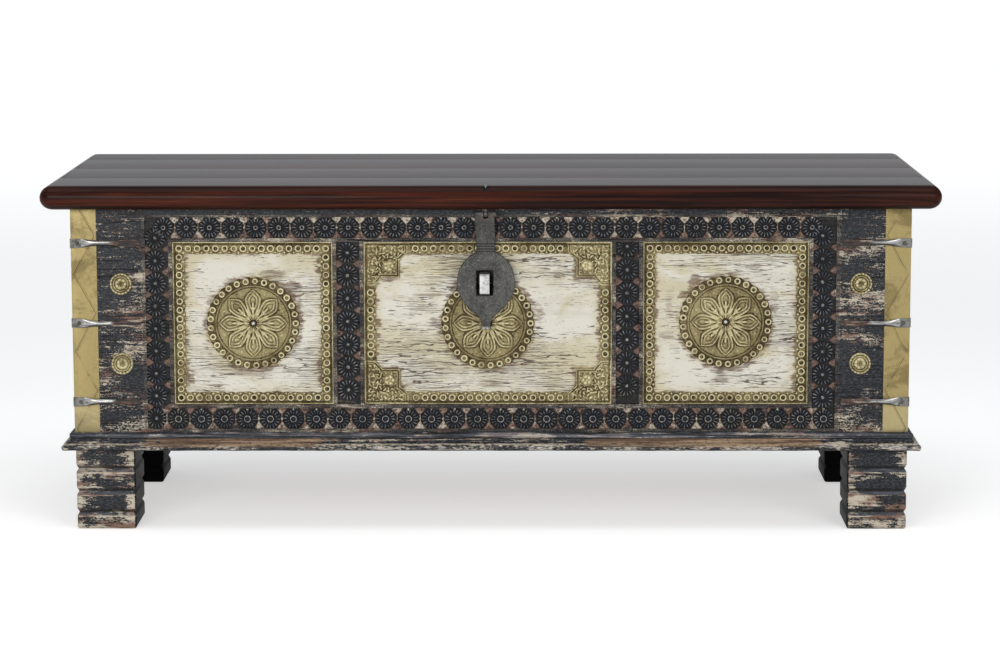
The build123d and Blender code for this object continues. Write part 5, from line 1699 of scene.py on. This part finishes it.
class CHEST_OT_medallions(bpy.types.Operator):
    """Embosses the three medallions and their ring beads, and the four stile bosses"""

    bl_idname = "chest.medallions"
    bl_label = "Medallions and bosses"

    def execute(self, context):
        finish = material(embossed_brass, "medallion brass", PANEL_Y, 1.3 * MM, 3.0 * MM)
        hollow = material(brass_hollow, "brass hollow")
        bead = ((4.5 * MM, 0), (4.3 * MM, 1.7 * MM), (3.7 * MM, 2.3 * MM), (2.4 * MM, 2.3 * MM),
                (1.9 * MM, 0.5 * MM), (0.8 * MM, 0.5 * MM))
        reach, count = 55.4 * MM, 30
        for name in BAYS:
            centre = medallion_centre(name)
            disc = disc_relief(f"medallion_{name}_finish", centre, 60 * MM, lotus_height, finish,
                               110, 320, count, 0.8 * MM)
            settle(disc, "chest", "old_brass", f"medallion_{name}")
            circle = [centre + Vector((reach * math.cos(a), -0.4 * MM, reach * math.sin(a)))
                      for a in around(240)[:233]]
            repeated(f"medallion_beads_{name}", "chest", "old_brass",
                     motif_of("bead", *turned(bead, 12), 4 * 12), [(circle, 0.0)],
                     2 * math.pi * reach / count, finish, 0.0, 0.08, 11, 40, hollow)
        stile = material(embossed_brass, "boss brass", FRONT_Y, 0.9 * MM, 1.8 * MM)
        low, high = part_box("stile_bosses")
        radius = 14.5 * MM
        for side, x in (("left", low.x + radius), ("right", high.x - radius)):
            for level, z in (("low", low.z + radius), ("high", high.z - radius)):
                centre = Vector((x, FRONT_Y, z))
                boss = disc_relief(f"stile_boss_{side}_{level}", centre, radius, boss_height, stile, 24, 128)
                settle(boss, "chest", "old_brass", "stile_bosses")
        return {"FINISHED"}


class CHEST_OT_cladding(bpy.types.Operator):
    """Finishes the sheet brass of the corners and sets its tacks"""

    bl_idname = "chest.cladding"
    bl_label = "Corner cladding"

    def execute(self, context):
        pitch = context.scene.chest_brass.tack_pitch
        finish = material(sheet_brass, "sheet brass")
        tack_metal = material(embossed_brass, "tack brass", FRONT_Y, 0.2 * MM, 2.0 * MM)
        dome = ((0.9 * MM, 0), (0.7 * MM, 0.4 * MM), (0.3 * MM, 0.7 * MM))
        for side, sign in SIDES:
            node = f"corner_brass_{side}"
            ease_node(node, "chest", "old_brass", 0.5 * MM, finish, 30 * MM)
            low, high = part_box(node)
            outer, inner = (low.x, high.x) if sign < 0 else (high.x, low.x)
            for face, x, y, facing, seed in (
                ("front", inner + sign * 1.8 * MM, low.y, (0, -1, 0), 17),
                ("side", outer, high.y - 1.8 * MM, (sign, 0, 0), 19),
            ):
                route = [Vector((x, y, z)) for z in (low.z + 5 * MM, high.z - 5 * MM)]
                repeated(f"tacks_{face}_{side}", "chest", "bright_steel",
                         motif_of("tack", *turned(dome, 8, facing)), [(route, 0.0)], pitch, tack_metal,
                         0.0, 0.2, seed)
        return {"FINISHED"}


class CHEST_OT_straps(bpy.types.Operator):
    """Forges the six corner straps and the nails of straps and medallions"""

    bl_idname = "chest.straps"
    bl_label = "Corner straps"

    def execute(self, context):
        finish = material(strap_steel, "strap steel")
        seat = FRONT_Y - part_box("corner_brass_left")[0].y
        reach, nail_inset, half = 89 * MM, 10 * MM, 6.1 * MM
        out = seat + 1.0 * MM
        dome = ((2.6 * MM, -0.3 * MM), (2.4 * MM, 0.5 * MM), (1.6 * MM, 1.1 * MM), (0.6 * MM, 1.35 * MM))
        nails = []
        for side, sign in SIDES:
            low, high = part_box(f"corner_straps_{side}")
            levels = (low.z + half, (low.z + high.z) / 2, high.z - half)
            bends = (0.6 * MM, -0.8 * MM, 1.0 * MM)
            straps = [strap(sign, z, seat, reach, bend) for z, bend in zip(levels, bends)]
            piece = new_piece(f"corner_straps_{side}_finish", *merge(straps), finish, 40)
            settle(piece, "chest", "forged_iron", f"corner_straps_{side}")
            for z in levels:
                corner = Vector((sign * (BODY_HALF + out), FRONT_Y - out, z))
                nails.append(turned(dome, 14, (0, -1, 0), corner - Vector((sign * nail_inset, 0, 0))))
                nails.append(turned(dome, 14, (sign, 0, 0), corner + Vector((0, nail_inset, 0))))
        piece = new_piece("strap_nails_finish", *merge(nails), material(forged_iron, "nail iron", 0.1), 40)
        settle(piece, "chest", "bright_steel", "strap_nails")
        dome = ((2.9 * MM, 0), (2.7 * MM, 1.6 * MM), (2.0 * MM, 2.6 * MM), (0.8 * MM, 3.1 * MM))
        seat = Vector((0, -0.4 * MM, 0))
        nails = [turned(dome, 16, (0, -1, 0), medallion_centre(name) + seat) for name in BAYS]
        piece = new_piece("medallion_nails_finish", *merge(nails), material(bright_steel, "nail steel"), 40)
        settle(piece, "chest", "bright_steel", "medallion_nails")
        return {"FINISHED"}


class CHEST_OT_hasp(bpy.types.Operator):
    """Forges the hasp, its eye and pin, and finishes the lock staple"""

    bl_idname = "chest.hasp"
    bl_label = "Hasp and staple"

    def execute(self, context):
        low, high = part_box("hasp_pin")
        centre = (low + high) / 2
        half = (high.x - low.x) / 2
        iron = material(forged_iron, "hasp iron", 0.2, centre.z - HASP_REACH)
        dark = material(forged_iron, "pin iron", 0.5)
        level, barrel, gap = (1, 0, 0), 4.2 * MM, 2.9 * MM
        settle(hasp_plate("hasp_plate", centre, iron), "hasp", "forged_iron", "hasp")
        aside = Vector(((half + gap) / 2, 0, 0))
        barrels = [cylinder(centre + shift, barrel, (half - gap) / 2, level) for shift in (-aside, aside)]
        settle(new_piece("hasp_barrels", *merge(barrels), iron, 40), "hasp", "forged_iron")
        pin = new_piece("hasp_pin_finish", *cylinder(centre, 1.8 * MM, half + 0.4 * MM, level), dark, 40)
        settle(pin, "hasp", "forged_iron", "hasp_pin")
        ring = cylinder(centre, barrel, 2.5 * MM, level)
        top = LID_LOW.z + 10 * MM
        middle = Vector((centre.x, centre.y, (centre.z + top) / 2))
        shank = cylinder(middle, 2.4 * MM, (top - centre.z) / 2, (0, 0, 1), 16)
        eye = new_piece("hasp_eye_finish", *merge([ring, shank]), dark, 40)
        settle(eye, "lid", "forged_iron", "hasp_eye")
        tip_rings = []
        curve = 15.5 * MM
        for part, width in enumerate((2.0, 2.1, 2.0, 1.7, 1.3, 0.9, 0.4)):
            y = centre.y + (1 - part) * 1.5 * MM
            bulge = max(LID_LOW.y + curve - y, 0)
            z = LID_HIGH.z - 0.15 * MM - curve + math.sqrt(max(curve ** 2 - bulge ** 2, 0))
            section = superellipse(width * MM, 0.7 * MM, 2.4, 12)
            tip_rings.append([(centre.x + u, y, z + v) for u, v in section])
        tip = new_piece("hasp_eye_clinch", *loft(tip_rings), material(bright_steel, "clinch steel"), 50)
        settle(tip, "lid", "bright_steel")
        steel = material(bright_steel, "staple steel")
        ease_node("lock_staple", "chest", "bright_steel", 0.6 * MM, steel, 1 * MM)
        return {"FINISHED"}


class CHEST_OT_hinges(bpy.types.Operator):
    """Finishes the rear hinges and sets the screws of the hinges and battens"""

    bl_idname = "chest.hinges"
    bl_label = "Hinges and screws"

    def execute(self, context):
        finish = material(forged_iron, "hinge iron", 0.35)
        for node in ("hinge_body_leaves", "hinge_lid_leaves", "hinge_pins"):
            paint_node(node, finish)
        steel = material(bright_steel, "screw steel")
        low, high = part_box("hinge_body_leaves")
        reach, half = 20 * MM, 30 * MM
        back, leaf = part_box("back_boards")[1].y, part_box("hinge_lid_leaves")[1].y
        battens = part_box("lid_battens")
        rows = (
            ("body", "chest", (0, 1, 0), reach, 1.5, 23,
             [[(sign * (high.x - half) + x, back + 2.0 * MM, low.z + 9 * MM) for x in (-reach, reach)]
              for sign in (-1, 1)]),
            ("lid_leaves", "lid", (0, 0, -1), reach, 0.0, 29,
             [[(sign * (high.x - half) + x, leaf - 4.2 * MM, LID_LOW.z - 2.0 * MM) for x in (-reach, reach)]
              for sign in (-1, 1)]),
            ("battens", "lid", (0, 0, -1), 90 * MM, 0.0, 37,
             [[(sign * (battens[1].x - 23 * MM), y, battens[0].z)
               for y in (battens[0].y + 30 * MM, battens[1].y - 30 * MM)] for sign in (-1, 1)]),
        )
        for name, body, facing, pitch, jitter, seed, routes in rows:
            repeated(f"screws_{name}", body, "bright_steel", screw_motif(facing),
                     [(route, 0.0) for route in routes], pitch, steel, jitter, 0.0, seed)
        return {"FINISHED"}


class CHEST_PT_sidebar(bpy.types.Panel):
    """Lists the steps that dress the chest."""

    bl_idname = "CHEST_PT_sidebar"
    bl_label = "Dowry chest"
    bl_space_type = "VIEW_3D"
    bl_region_type = "UI"
    bl_category = "Chest"

    def draw(self, context):
        for operator in OPERATORS:
            self.layout.operator(operator.bl_idname)
        for name, group in SETTINGS.items():
            box = self.layout.box()
            for setting in group.__annotations__:
                box.prop(getattr(context.scene, name), setting)


OPERATORS = (
    CHEST_OT_stage, CHEST_OT_lid, CHEST_OT_body, CHEST_OT_panels, CHEST_OT_carving, CHEST_OT_trim,
    CHEST_OT_medallions, CHEST_OT_cladding, CHEST_OT_straps, CHEST_OT_hasp, CHEST_OT_hinges,
)


def register():
    for group in SETTINGS.values():
        bpy.utils.register_class(group)
    for name, group in SETTINGS.items():
        setattr(bpy.types.Scene, name, PointerProperty(type=group))
    for operator in OPERATORS:
        bpy.utils.register_class(operator)
    bpy.utils.register_class(CHEST_PT_sidebar)


def unregister():
    bpy.utils.unregister_class(CHEST_PT_sidebar)
    for operator in reversed(OPERATORS):
        bpy.utils.unregister_class(operator)
    for name, group in SETTINGS.items():
        delattr(bpy.types.Scene, name)
        bpy.utils.unregister_class(group)


def main():
    register()
    for operator in OPERATORS:
        folder, step = operator.bl_idname.split(".")
        getattr(getattr(bpy.ops, folder), step)()


if __name__ == "__main__":
    main()
